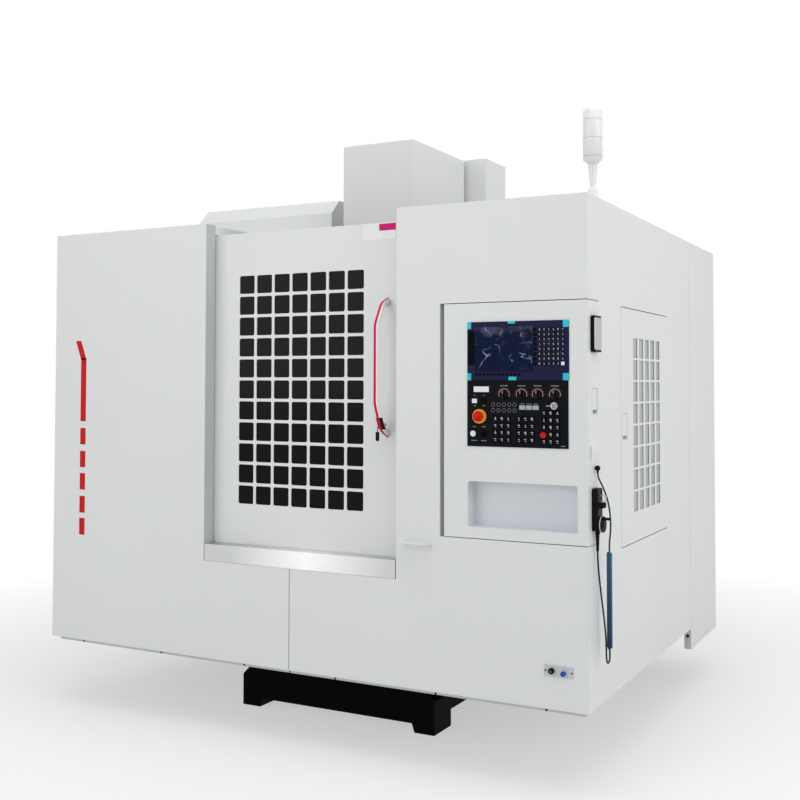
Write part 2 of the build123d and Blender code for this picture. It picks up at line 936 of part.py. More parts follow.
with BuildPart() as rear_panels:
    box(-half_width + sheet, half_width - sheet, rear_y - sheet, rear_y, corner_plate_bottom, enclosure_top)
    box(
        -cabinet_half,
        cabinet_half,
        rear_y - sheet,
        rear_y,
        cabinet_bottom,
        cabinet_top,
        Mode.SUBTRACT,
    )
    for side in (-1, 1):
        outer = side * half_width
        inner = side * (half_width - sheet)
        flange = side * (half_width - corner_flange)
        x0, x1 = min(outer, inner), max(outer, inner)
        box(x0, x1, corner_front, rear_y, corner_plate_bottom, enclosure_top)
        x0, x1 = min(outer, flange), max(outer, flange)
        box(x0, x1, corner_front, corner_front + sheet, corner_plate_bottom, enclosure_top - sheet)
        hole = facing_front(corner_front + sheet)
        disc(hole, side * (half_width - 16), corner_plate_bottom + 62, 6, sheet, Mode.SUBTRACT)
finish(rear_panels, "rear_panels")

# Roof sheets left and right of the open centre, and one at the rear.
roof_bottom = enclosure_top - sheet
roof_left_edge = door_opening_left - sheet
inner_width = half_width - sheet

with BuildPart() as roof_panels:
    box(-inner_width, roof_left_edge, front_back, back(hood_front), roof_bottom, enclosure_top)
    box(
        roof_left_edge - sheet,
        roof_left_edge,
        back(return_depth + 1),
        back(hood_front),
        door_top + 4,
        enclosure_top,
    )
    box(
        door_opening_right + sheet,
        inner_width,
        front_back,
        rear_y - sheet,
        roof_bottom,
        enclosure_top,
    )
    box(
        -inner_width,
        door_opening_right + sheet,
        back(column_cover_rear),
        rear_y - sheet,
        roof_bottom,
        enclosure_top,
    )
finish(roof_panels, "roof_panels")

# Magazine hood: a raised roof over the tool disc, with a sloped front edge and a guard wall below.
hood_rear = column_cover_rear
hood_slope = hood_top - hood_front_top
guard_bottom = 1620.0

with BuildPart() as magazine_hood:
    hood_outline = [
        (back(hood_front), enclosure_top),
        (back(hood_front), hood_front_top),
        (back(hood_front + hood_slope), hood_top),
        (back(hood_rear), hood_top),
        (back(hood_rear), enclosure_top),
    ]
    profile(facing_right(hood_left), hood_outline, hood_right - hood_left)
    corner_cut = sheet * math.tan(math.radians(22.5))
    hood_inner = [
        (back(hood_front + sheet), enclosure_top),
        (back(hood_front + sheet), hood_front_top - corner_cut),
        (back(hood_front + hood_slope + corner_cut), hood_top - sheet),
        (back(hood_rear - sheet), hood_top - sheet),
        (back(hood_rear - sheet), enclosure_top),
    ]
    profile(
        facing_right(hood_left + sheet),
        hood_inner,
        hood_right - hood_left - 2 * sheet,
        Mode.SUBTRACT,
    )
    box(hood_left, hood_right, back(hood_front), back(hood_front + sheet), guard_bottom, enclosure_top)
finish(magazine_hood, "magazine_hood")

# Chip pan: two sloped wings beside the bed and a flat front.
pan_rear = back(1402)
pan_flat = pan_top - sheet
pan_rise = 122.0
pan_bend = 640.0

with BuildPart() as chip_pan:
    for side in (-1, 1):
        wing = [
            (side * bed_half, pan_flat),
            (side * pan_bend, pan_flat),
            (side * inner_width, pan_flat + pan_rise),
            (side * inner_width, pan_flat + pan_rise + sheet),
            (side * pan_bend, pan_flat + sheet),
            (side * bed_half, pan_flat + sheet),
        ]
        profile(facing_front(pan_rear), wing, pan_rear - back(130))
        flange_inner = side * bed_half
        flange_outer = side * (bed_half + sheet)
        x0, x1 = min(flange_inner, flange_outer), max(flange_inner, flange_outer)
        box(x0, x1, bed_front, pan_rear, bed_top - 30, pan_flat)
    box(-bed_half, bed_half, back(130), bed_front, pan_flat, pan_flat + sheet)
finish(chip_pan, "chip_pan")

# Splash guards round the work area: left, right with the rear wall, and the low wall rear left.
guard_x = 1020.0
guard_front = box_depth + 10
guard_top = 2050.0
low_guard_top = 1400.0
guard_base = pan_flat + pan_rise + sheet
rear_wall = 1402.0

with BuildPart() as splash_guards:
    box(-guard_x - sheet, -guard_x, back(guard_front), back(hood_front - seam), guard_base, guard_top)
    box(-inner_width, -guard_x, back(guard_front), back(guard_front + sheet), guard_base, guard_top)
    box(guard_x, guard_x + sheet, back(guard_front), back(rear_wall), guard_base, guard_top)
    box(guard_x, inner_width, back(guard_front), back(guard_front + sheet), guard_base, guard_top)
    box(column_half + 6, inner_width, back(rear_wall), back(rear_wall + sheet), pan_flat, guard_top)
    box(-guard_x - sheet, -guard_x, back(hood_front - seam), back(rear_wall), guard_base, low_guard_top)
    box(-inner_width, -column_half - 6, back(rear_wall), back(rear_wall + sheet), pan_flat, low_guard_top)
finish(splash_guards, "splash_guards")

# Door header with the rail that the door hangs on.
header_front = 127.0
header_bottom = 2060.0
header_top = 2130.0
hang_rail_front = 112.0
hang_rail_bottom = 2085.0
hang_rail_height = 20.0

with BuildPart() as door_header:
    box(-inner_width, inner_width, back(header_front), back(header_front + 38), header_bottom, header_top)
    box(
        -inner_width,
        inner_width,
        back(header_front + sheet),
        back(header_front + 38),
        header_bottom + sheet,
        header_top - sheet,
        Mode.SUBTRACT,
    )
    box(
        -inner_width + 10,
        door_opening_right,
        back(hang_rail_front),
        back(header_front),
        hang_rail_bottom,
        hang_rail_bottom + hang_rail_height,
    )
finish(door_header, "door_header")

# Sliding door: a flanged sheet punched with a grid of rounded cells, hung on two carriages.
door_left = door_opening_left - door_lap
door_right = door_opening_right + door_lap

with BuildPart() as door_panel:
    box(door_left, door_right, door_y, door_y + sheet + door_flange, door_bottom, door_top)
    box(
        door_left + sheet,
        door_right - sheet,
        door_y + sheet,
        door_y + sheet + door_flange,
        door_bottom + sheet,
        door_top - sheet,
        Mode.SUBTRACT,
    )
    with BuildSketch(facing_front(door_y + sheet)) as window_grid:
        with Locations((window_centre_x, window_centre_z)):
            with GridLocations(window_pitch, window_pitch, window_columns, window_rows):
                RectangleRounded(window_cell, window_cell, window_corner)
    extrude(window_grid.sketch, amount=sheet, mode=Mode.SUBTRACT)
    for carriage_x in (door_left + 90, door_right - 90):
        box(
            carriage_x - 40,
            carriage_x + 40,
            door_y + sheet,
            back(header_front) - fit,
            hang_rail_bottom - 15,
            door_top - sheet,
        )
        box(
            carriage_x - 40,
            carriage_x + 40,
            back(hang_rail_front) - fit,
            back(header_front),
            hang_rail_bottom - fit,
            hang_rail_bottom + hang_rail_height + fit,
            Mode.SUBTRACT,
        )
finish(door_panel, "door_panel")

pane_lap = 14.0
pane_half_width = ((window_columns - 1) * window_pitch + window_cell) / 2 + pane_lap
pane_half_height = ((window_rows - 1) * window_pitch + window_cell) / 2 + pane_lap

with BuildPart() as door_window:
    pane_y = door_y + sheet
    box(
        window_centre_x - pane_half_width,
        window_centre_x + pane_half_width,
        pane_y,
        pane_y + 6,
        window_centre_z - pane_half_height,
        window_centre_z + pane_half_height,
    )
finish(door_window, "door_window")

# Door handle: a bowed tube whose ends meet the door.
with BuildPart() as door_handle:
    bow_y = door_y - handle_bow
    with BuildLine() as bow:
        FilletPolyline(
            (handle_x, door_y + 20, handle_top_z + 6),
            (handle_x, door_y - handle_bow * 0.5, handle_top_z - 20),
            (handle_x, bow_y, handle_top_z - 105),
            (handle_x, bow_y, handle_bottom_z + 125),
            (handle_x, door_y - handle_bow * 0.5, handle_bottom_z + 22),
            (handle_x, door_y + 20, handle_bottom_z - 6),
            radius=55,
        )
    with BuildSketch(Plane(origin=bow.line @ 0, z_dir=bow.line % 0)) as tube:
        Circle(handle_radius)
    sweep(tube.sketch, path=bow.line)
    split(bisect_by=Plane((0, door_y, 0), x_dir=(1, 0, 0), z_dir=(0, -1, 0)), keep=Keep.TOP)
finish(door_handle, "door_handle")

# Control box: a sheet box with cut-outs for the screen and the keys, a tray below them, a boss for
# the port lid, a latch cup, a hook and the cord's round grommet with its spout on the right side.
box_right = half_width
lid_front = 30.0
lid_width = 78.0
lid_bottom = 1608.0
lid_height = 119.0
lid_boss = 14.0
latch_front = 43.0
latch_width = 62.0
latch_bottom = 1368.0
latch_height = 109.0
cup_depth = 14.0
grommet_y = 78.0
grommet_z = 1178.0
grommet_radius = 10.0
spout_length = 6.0
spout_bottom = grommet_z - grommet_radius - spout_length

with BuildPart() as control_box:
    box(box_left, box_right, back(0), back(box_depth), box_bottom, box_top)
    box(
        box_left + box_wall,
        box_right - box_wall,
        back(box_wall),
        back(box_depth - box_wall),
        box_bottom + box_wall,
        box_top - box_wall,
        Mode.SUBTRACT,
    )
    block(
        facing_front(back(box_wall)),
        console_left + 8,
        console_right - 8,
        keys_bottom + 8,
        screen_top - 8,
        box_wall,
        Mode.SUBTRACT,
    )
    block(
        facing_front(back(tray_depth + box_wall)),
        console_left - box_wall,
        tray_right + box_wall,
        tray_bottom - box_wall,
        tray_top + box_wall,
        tray_depth + box_wall,
        Mode.ADD,
        14,
    )
    block(
        facing_front(back(tray_depth)),
        console_left,
        tray_right,
        tray_bottom,
        tray_top,
        tray_depth,
        Mode.SUBTRACT,
        12,
    )
    block(
        facing_right(box_right),
        back(lid_front),
        back(lid_front + lid_width),
        lid_bottom,
        lid_bottom + lid_height,
        lid_boss,
    )
    block(
        facing_right(box_right + lid_boss - 8),
        back(lid_front + 8),
        back(lid_front + lid_width - 8),
        lid_bottom + 14,
        lid_bottom + lid_height - 8,
        8,
        Mode.SUBTRACT,
    )
    latch_y0 = back(latch_front)
    latch_y1 = back(latch_front + latch_width)
    latch_z1 = latch_bottom + latch_height
    block(
        facing_right(box_right - cup_depth - box_wall),
        latch_y0,
        latch_y1,
        latch_bottom,
        latch_z1,
        cup_depth + box_wall + 1.5,
        Mode.ADD,
        8,
    )
    block(
        facing_right(box_right - cup_depth),
        latch_y0 + 7,
        latch_y1 - 7,
        latch_bottom + 8,
        latch_z1 - 8,
        cup_depth + 1.5,
        Mode.SUBTRACT,
        5,
    )
    hook_outline = [
        (box_right, grommet_z + 84),
        (box_right + 7, grommet_z + 80),
        (box_right + 7, grommet_z + 40),
        (box_right, grommet_z + 20),
    ]
    with BuildSketch(facing_front(back(108))) as hook:
        with BuildLine():
            Polyline(*hook_outline, close=True)
        make_face()
    extrude(hook.sketch, amount=84)
    with Locations((box_right + grommet_radius, back(grommet_y), grommet_z)):
        Sphere(grommet_radius)
    disc(facing_right(box_right), back(grommet_y), grommet_z, 6, grommet_radius)
    disc(
        level(spout_bottom),
        box_right + grommet_radius,
        back(grommet_y),
        cord_radius + 1.2,
        grommet_radius + spout_length,
    )
finish(control_box, "control_box")

# Screen unit: bezel, sunk screen, card slot door, row of soft keys and a film keypad.
bezel_front = back(-console_proud)
screen_left = 862.0
screen_right = 1036.0
screen_low = 1550.0
screen_high = 1690.0

with BuildPart() as display_unit:
    block(facing_front(back(0)), console_left, console_right, screen_bottom, screen_top, console_proud)
    block(
        facing_front(back(console_body_depth)),
        console_left + 10,
        console_right - 10,
        screen_bottom + 10,
        screen_top - 10,
        console_body_depth,
    )
    block(
        facing_front(back(-1)),
        screen_left,
        screen_right,
        screen_low,
        screen_high,
        console_proud,
        Mode.SUBTRACT,
    )
    with BuildSketch(facing_front(bezel_front)) as key_caps:
        with Locations(((screen_left + screen_right) / 2, screen_bottom + 22)):
            with GridLocations(15.5, 10, 12, 1):
                Rectangle(10, 10)
        with Locations((1144, (screen_low + screen_high) / 2 + 2)):
            with GridLocations(18, 18, 8, 8):
                Rectangle(13, 13)
    extrude(key_caps.sketch, amount=0.8)
finish(display_unit, "display_unit")

# Key panel: plate with film keys, a collar for the stop button and holes for what turns or presses.
panel_top = screen_bottom - 1.0
shaft_radius = 5.0
button_radius = 11.0
selector_xs = (976.0, 1046.0, 1109.0, 1176.0)
start_x = console_left + 27
hold_x = console_left + 68
button_z = panel_top - 200
red_x = console_left + 307
red_z = panel_top - 200
key_x = console_left + 346
key_z = panel_top - 93
collar_radius = 27.0
collar_height = 9.0
stop_shaft = 11.0

with BuildPart() as operator_panel:
    block(facing_front(back(0)), console_left, keys_right, keys_bottom, panel_top, console_proud)
    block(
        facing_front(back(12)),
        console_left + 10,
        keys_right - 10,
        keys_bottom + 10,
        panel_top - 10,
        12,
    )
    with BuildSketch(facing_front(bezel_front)) as keys:
        for block_x in (console_left + 142, console_left + 236):
            with Locations((block_x, panel_top - 181)):
                with GridLocations(26, 26, 3, 4):
                    Rectangle(19, 19)
        with Locations((console_left + 334, panel_top - 171)):
            with GridLocations(26, 26, 3, 5):
                Rectangle(19, 19)
        with Locations((red_x + 1, red_z + 3)):
            Rectangle(25, 25, mode=Mode.SUBTRACT)
        for switch_x in (console_left + 31, console_left + 68):
            with Locations((switch_x, panel_top - 77)):
                Rectangle(22, 18)
    extrude(keys.sketch, amount=2.5)
    collar_plane = facing_front(bezel_front)
    disc(collar_plane, stop_x, stop_z, collar_radius, collar_height)
    through = facing_front(back(12))
    for knob_x in selector_xs:
        disc(through, knob_x, selector_z, shaft_radius + fit, 12 + console_proud, Mode.SUBTRACT)
    for knob_x, knob_z in ((start_x, button_z), (hold_x, button_z), (red_x, red_z)):
        disc(through, knob_x, knob_z, 7 + fit, 12 + console_proud, Mode.SUBTRACT)
    disc(through, key_x, key_z, shaft_radius + fit, 12 + console_proud, Mode.SUBTRACT)
    disc(through, stop_x, stop_z, stop_shaft + fit, 12 + console_proud + collar_height, Mode.SUBTRACT)
finish(operator_panel, "operator_panel")

# Four rotary selectors with a pointer ridge.
knob_base = back(-console_proud) - fit


def selector(knob_x):
    """A round knob with a flat grip across it, on a shaft through the panel."""
    with BuildPart() as knob:
        disc(facing_front(knob_base), knob_x, selector_z, selector_radius, selector_height * 0.45)
        grip_plane = facing_front(knob_base - selector_height * 0.45)
        block(
            grip_plane,
            knob_x - 5,
            knob_x + 5,
            selector_z - selector_radius * 0.95,
            selector_z + selector_radius * 0.95,
            selector_height * 0.55,
            Mode.ADD,
            3,
        )
        disc(facing_front(back(10)), knob_x, selector_z, shaft_radius, back(10) - knob_base)
    return knob


for number, knob_x in enumerate(selector_xs, start=1):
    finish(selector(knob_x), f"selector_knob_{number}")

# Stop button: a mushroom on a shaft through the collar, with room to press.
stop_stroke = 5.0
with BuildPart() as stop_button:
    collar_face = bezel_front - collar_height
    with BuildSketch(Plane((stop_x, 0, stop_z), x_dir=(1, 0, 0), z_dir=(0, 0, 1))) as mushroom:
        with BuildLine():
            cap_rear = collar_face - stop_stroke - 1
            Line((0, back(10)), (stop_shaft, back(10)))
            Line((stop_shaft, back(10)), (stop_shaft, cap_rear))
            Line((stop_shaft, cap_rear), (20, cap_rear))
            Line((20, cap_rear), (20, cap_rear - 7))
            across, drop = cap_middle(20, 6)
            ThreePointArc((20, cap_rear - 7), (across, cap_rear - 13 + drop), (0, cap_rear - 13))
            Line((0, cap_rear - 13), (0, back(10)))
        make_face()
    revolve(mushroom.sketch, Axis((stop_x, 0, stop_z), (0, 1, 0)))
finish(stop_button, "stop_button")

# Two round push-buttons and the raised red one, each with a stroke in front of the panel.
press_stroke = 4.0


def push_button(x, z, radius):
    """A round cap in front of the panel, on a plunger through it."""
    with BuildPart() as button:
        cap_rear = bezel_front - press_stroke - fit
        disc(facing_front(cap_rear), x, z, radius, 5)
        disc(facing_front(back(6)), x, z, 7, back(6) - cap_rear)
    return button


finish(push_button(start_x, button_z, button_radius), "start_button")
finish(push_button(hold_x, button_z, button_radius), "hold_button")
finish(push_button(red_x, red_z, button_radius), "red_button")

with BuildPart() as key_switch:
    disc(facing_front(knob_base), key_x, key_z, 10, 4)
    disc(facing_front(back(10)), key_x, key_z, shaft_radius, back(10) - knob_base)
    block(facing_front(knob_base - 4), key_x - 1.2, key_x + 1.2, key_z - 8, key_z + 8, 20, Mode.ADD)
finish(key_switch, "key_switch")

# Port lid: a shallow clear lid hinged along its lower edge.
lid_thickness = 4.0
lid_x = box_right + lid_boss + fit
with BuildPart() as port_lid:
    block(
        facing_right(lid_x),
        back(lid_front + 1),
        back(lid_front + lid_width - 1),
        lid_bottom + 1,
        lid_bottom + lid_height - 1,
        lid_thickness,
        Mode.ADD,
        5,
    )
finish(port_lid, "port_lid")

# Latch handles: flat paddles that lift out of their cups.
latch_clear = 1.0
latch_head_clear = 1.5
latch_rim = 1.5


def latch_paddle(face_x, y0, y1, z0, z1, cup, rim):
    """A thin lever hung in the upper end of its cup, flush with the rim."""
    with BuildPart() as paddle:
        block(facing_right(face_x + rim - 5), y0, y1, z0, z1, 5, Mode.ADD, 4)
        block(facing_right(face_x - cup + fit), y0 + 6, y1 - 6, z1 - 12, z1 - 2, cup + rim - 5 - fit)
    return paddle


box_paddle = latch_paddle(
    box_right,
    latch_y0 + 7 + latch_clear,
    latch_y1 - 7 - latch_clear,
    latch_bottom + 8 + 14,
    latch_z1 - 8 - latch_head_clear,
    cup_depth,
    latch_rim,
)
finish(box_paddle, "box_latch")

# Hand pulse unit: slim housing on two magnets, with selector caps and a tapered cord relief, plus
# its hand wheel.
pulse_x0 = box_right + pulse_standoff
pulse_x1 = pulse_x0 + pulse_thickness
pulse_y = back(pulse_front + pulse_width / 2)
cord_x = pulse_x0 + pulse_thickness / 2
relief_top = pulse_bottom - 12
relief_length = 62.0
relief_bottom = relief_top - relief_length

with BuildPart() as pulse_unit:
    block(
        facing_right(pulse_x0),
        back(pulse_front),
        back(pulse_front + pulse_width),
        pulse_bottom,
        pulse_top,
        pulse_thickness,
        Mode.ADD,
        9,
    )
    fillet(pulse_unit.faces().sort_by(Axis.X)[-1].edges(), radius=3)
    for magnet_z in (pulse_bottom + 30, pulse_top - 30):
        disc(facing_right(box_right + fit), pulse_y, magnet_z, 14, pulse_standoff)
    for cap_side in (-1, 1):
        disc(facing_right(pulse_x1), pulse_y + cap_side * 14, 1045, 10, 13)
        block(
            facing_right(pulse_x1 + 13),
            pulse_y + cap_side * 14 - 2,
            pulse_y + cap_side * 14 + 2,
            1036,
            1054,
            4,
        )
    disc(facing_right(pulse_x1 - 12), pulse_y, wheel_z, shaft_radius + fit, 12, Mode.SUBTRACT)
    with BuildSketch(Plane((cord_x, pulse_y, 0), x_dir=(1, 0, 0), z_dir=(0, -1, 0))) as relief_half:
        with BuildLine():
            Polyline(
                (0, pulse_bottom),
                (8.5, pulse_bottom),
                (8.5, relief_top),
                (7.0, relief_top),
                (4.6, relief_bottom),
                (0, relief_bottom),
                close=True,
            )
        make_face()
    revolve(relief_half.sketch, Axis((cord_x, pulse_y, 0), (0, 0, 1)))
finish(pulse_unit, "pulse_unit")

with BuildPart() as pulse_wheel:
    wheel_plane = facing_right(pulse_x1 + fit)
    disc(wheel_plane, pulse_y, wheel_z, wheel_radius, wheel_thickness)
    disc(facing_right(pulse_x1 + fit + wheel_thickness), pulse_y, wheel_z, 16, 3)
    crank_z = wheel_z + wheel_radius - 9
    disc(facing_right(pulse_x1 + fit + wheel_thickness), pulse_y, crank_z, 5, 24)
    disc(facing_right(pulse_x1 - 10), pulse_y, wheel_z, shaft_radius, 10 + fit)
finish(pulse_wheel, "pulse_wheel")


# The cord: a short lead from the grommet, the curly stretch as one fat tube, and the lead that
# turns at the bottom and climbs to the pulse unit.
coil_x = 1344.0
coil_y = back(106)
turn_z = coil_bottom - 40
upper_route = [
    (box_right + grommet_radius, back(grommet_y), spout_bottom),
    (box_right + grommet_radius, back(grommet_y), spout_bottom - 16),
    (box_right + 22, back(grommet_y + 21), grommet_z - 66),
    (box_right + 40, back(grommet_y + 26), grommet_z - 116),
    (box_right + 49, coil_y, grommet_z - 174),
    (box_right + 49, coil_y, grommet_z - 233),
    (coil_x, coil_y, coil_top + 28),
    (coil_x, coil_y, coil_top),
]
lower_route = [
    (cord_x, pulse_y, relief_bottom),
    (cord_x, pulse_y, relief_bottom - 30),
    (cord_x + 8, pulse_y, relief_bottom - 119),
    (cord_x + 21, pulse_y, relief_bottom - 219),
    (coil_x, pulse_y, relief_bottom - 309),
    (coil_x, pulse_y, turn_z),
    (coil_x, coil_y, turn_z),
    (coil_x, coil_y, coil_bottom),
]


def corner_radii(route):
    """The arc at each corner: as large as its two runs allow."""
    radii = []
    for before, corner, after in zip(route, route[1:], route[2:]):
        into = Vector(*corner) - Vector(*before)
        out = Vector(*after) - Vector(*corner)
        turn = math.radians(into.get_angle(out))
        shorter = min(into.length, out.length)
        radii.append(0.45 * shorter / math.tan(turn / 2))
    return radii


def cord_tube(route):
    """A plain tube along straight runs joined by tangent arcs."""
    radii = corner_radii(route)
    print("cord radii", [round(radius, 1) for radius in radii])
    with BuildPart() as tube_part:
        with BuildLine() as line:
            FilletPolyline(*route, radius=radii)
        with BuildSketch(Plane(origin=line.line @ 0, z_dir=line.line % 0)) as section:
            Circle(cord_radius)
        sweep(section.sketch, path=line.line)
    expected = math.pi * cord_radius**2 * line.wires()[0].length
    print("cord volume over section times length", round(tube_part.part.volume / expected, 4))
    return tube_part


finish(cord_tube(upper_route), "cord_upper")
finish(cord_tube(lower_route), "cord_lower")
with BuildPart() as cord_coil:
    disc(level(coil_bottom), coil_x, coil_y, coil_radius, coil_top - coil_bottom)
finish(cord_coil, "cord_coil")

# Right side door: a flanged sheet with a grille of upright slots and a flush latch.
door_x0 = half_width - sheet
side_flange = 20.0
side_latch_y0 = back(420)
side_latch_y1 = back(490)
side_latch_z0 = 1258.0
side_latch_z1 = 1375.0

with BuildPart() as side_door:
    y0 = back(side_door_front)
    y1 = back(side_door_rear)
    box(door_x0 - side_flange, half_width, y0, y1, side_door_bottom, side_door_top)
    box(
        door_x0 - side_flange,
        door_x0,
        y0 + sheet,
        y1 - sheet,
        side_door_bottom + sheet,
        side_door_top - sheet,
        Mode.SUBTRACT,
    )
    grille_centre_y = back(grille_front) + ((grille_columns - 1) * grille_pitch_y + grille_slot_width) / 2
    grille_centre_z = grille_bottom + ((grille_rows - 1) * grille_pitch_z + grille_slot_height) / 2
    with BuildSketch(facing_right(door_x0)) as slots:
        with Locations((grille_centre_y, grille_centre_z)):
            with GridLocations(grille_pitch_y, grille_pitch_z, grille_columns, grille_rows):
                Rectangle(grille_slot_width, grille_slot_height)
    extrude(slots.sketch, amount=sheet, mode=Mode.SUBTRACT)
    block(
        facing_right(half_width - cup_depth - box_wall),
        side_latch_y0,
        side_latch_y1,
        side_latch_z0,
        side_latch_z1,
        cup_depth + box_wall + 1.5,
        Mode.ADD,
        8,
    )
    block(
        facing_right(half_width - cup_depth),
        side_latch_y0 + 7,
        side_latch_y1 - 7,
        side_latch_z0 + 8,
        side_latch_z1 - 8,
        cup_depth + 1.5,
        Mode.SUBTRACT,
        5,
    )
finish(side_door, "side_door")

side_paddle = latch_paddle(
    half_width,
    side_latch_y0 + 7 + latch_clear,
    side_latch_y1 - 7 - latch_clear,
    side_latch_z0 + 8 + 14,
    side_latch_z1 - 8 - latch_head_clear,
    cup_depth,
    latch_rim,
)
finish(side_paddle, "side_door_latch")

# Rear cabinet with its drive modules, its door and the main switch.
cabinet_wall = 2.0
cabinet_rear = rear_y - 24
module_bottom = 900.0

with BuildPart() as electrical_cabinet:
    box(-cabinet_half, cabinet_half, column_rear, cabinet_rear, cabinet_bottom, cabinet_top)
    box(
        -cabinet_half + cabinet_wall,
        cabinet_half - cabinet_wall,
        column_rear + cabinet_wall,
        cabinet_rear,
        cabinet_bottom + cabinet_wall,
        cabinet_top - cabinet_wall,
        Mode.SUBTRACT,
    )
    module_y = column_rear + cabinet_wall
    for module_x in (-300, -180, -60, 60, 180):
        box(module_x - 45, module_x + 45, module_y, module_y + 110, module_bottom, module_bottom + 380)
    box(-300, 300, module_y, module_y + 60, 1400, 1500)
    box(-300, 300, module_y, module_y + 60, 1620, 1720)
    box(-cabinet_half, cabinet_half, cabinet_rear - sheet, rear_y - sheet, cabinet_bottom - 20, cabinet_bottom)
finish(electrical_cabinet, "electrical_cabinet")

switch_x = -cabinet_half + 90
switch_z = 1500.0
with BuildPart() as cabinet_door:
    x0 = -cabinet_half + seam
    x1 = cabinet_half - fit
    box(x0, x1, cabinet_rear + fit, rear_y, cabinet_bottom + fit, cabinet_top - seam)
    box(
        x0 + sheet,
        x1 - sheet,
        cabinet_rear + fit,
        rear_y - sheet,
        cabinet_bottom + fit + sheet,
        cabinet_top - seam - sheet,
        Mode.SUBTRACT,
    )
    with BuildSketch(facing_front(rear_y)) as louvres:
        for louvre_z in (cabinet_bottom + 220, cabinet_top - 220):
            with Locations((0, louvre_z)):
                with GridLocations(0, 26, 1, 7):
                    SlotOverall(260, 10)
    extrude(louvres.sketch, amount=sheet, mode=Mode.SUBTRACT)
    disc(facing_front(rear_y), switch_x, switch_z, 6 + fit, sheet, Mode.SUBTRACT)
finish(cabinet_door, "cabinet_door")

with BuildPart() as main_switch:
    switch_face = rear_y + fit
    disc(facing_front(switch_face + 10), switch_x, switch_z, 28, 10)
    block(
        facing_front(switch_face + 32),
        switch_x - 7,
        switch_x + 7,
        switch_z - 26,
        switch_z + 26,
        22,
        Mode.ADD,
        4,
    )
    disc(facing_front(switch_face), switch_x, switch_z, 6, 20)
finish(main_switch, "main_switch")

# Gun holder, air plate with its inlet, and the air knob.
shelf_left = 550.0
shelf_right = 672.0
shelf_z = 868.0
with BuildPart() as gun_holder:
    with BuildSketch(level(shelf_z)) as shelf:
        with Locations(((shelf_left + shelf_right) / 2, back(-22.5))):
            RectangleRounded(shelf_right - shelf_left, 45, 14)
        with Locations(((shelf_left + shelf_right) / 2, back(-11))):
            Rectangle(shelf_right - shelf_left, 22)
        with Locations((shelf_left + 38, back(-24))):
            Circle(11, mode=Mode.SUBTRACT)
        with Locations((shelf_right - 38, back(-24))):
            SlotOverall(34, 14, mode=Mode.SUBTRACT)
    extrude(shelf.sketch, amount=sheet)
    block(facing_front(back(0)), shelf_left, shelf_right, shelf_z - 20, shelf_z + sheet, sheet)
finish(gun_holder, "gun_holder")

inlet_x, inlet_z = 1161.0, 447.0
knob_x, knob_z = 1206.0, 442.0
inlet_radius = 5.0
with BuildPart() as air_plate:
    block(facing_front(back(0)), 1130, 1244, 425, 467, 2, Mode.ADD, 4)
    disc(facing_front(back(14)), inlet_x, inlet_z, 8.5, 14)
    disc(facing_front(back(-2)), inlet_x, inlet_z, 11, 12)
    disc(facing_front(back(10)), inlet_x, inlet_z, inlet_radius, 24, Mode.SUBTRACT)
    disc(facing_front(back(0)), knob_x, knob_z, 4 + fit, 2, Mode.SUBTRACT)
finish(air_plate, "air_plate")

with BuildPart() as air_knob:
    disc(facing_front(back(-2) - fit), knob_x, knob_z, 9, 14)
    disc(facing_front(back(12)), knob_x, knob_z, 4, 14 + fit)
finish(air_knob, "air_knob")

# Stack light: a turned stem and a domed lamp.
light_x = 1262.0
light_y = back(185)
lamp_bottom = 2318.0
lamp_top = 2540.0
lamp_radius = 36.5

lamp_dome = 22.0

with BuildPart() as stack_light:
    with BuildSketch(Plane((light_x, light_y, 0), x_dir=(1, 0, 0), z_dir=(0, -1, 0))) as stem_half:
        with BuildLine():
            Polyline(
                (0, enclosure_top),
                (24, enclosure_top),
                (24, enclosure_top + 4),
                (19, enclosure_top + 10),
                (17, enclosure_top + 42),
                (10.5, enclosure_top + 50),
                (18, lamp_bottom),
                (0, lamp_bottom),
                close=True,
            )
        make_face()
    revolve(stem_half.sketch, Axis((light_x, light_y, 0), (0, 0, 1)))
    with BuildSketch(Plane((light_x, light_y, 0), x_dir=(1, 0, 0), z_dir=(0, -1, 0))) as lamp_half:
        with BuildLine():
            Line((0, lamp_bottom), (20, lamp_bottom))
            Line((20, lamp_bottom), (lamp_radius, lamp_bottom + 16))
            Line((lamp_radius, lamp_bottom + 16), (lamp_radius, lamp_top - lamp_dome))
            across, drop = cap_middle(lamp_radius, lamp_dome)
            ThreePointArc((lamp_radius, lamp_top - lamp_dome), (across, lamp_top - drop), (0, lamp_top))
            Line((0, lamp_top), (0, lamp_bottom))
        make_face()
    revolve(lamp_half.sketch, Axis((light_x, light_y, 0), (0, 0, 1)))
finish(stack_light, "stack_light")
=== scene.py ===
import json
import math
import random

import bmesh
import bpy
from mathutils import Matrix, Vector

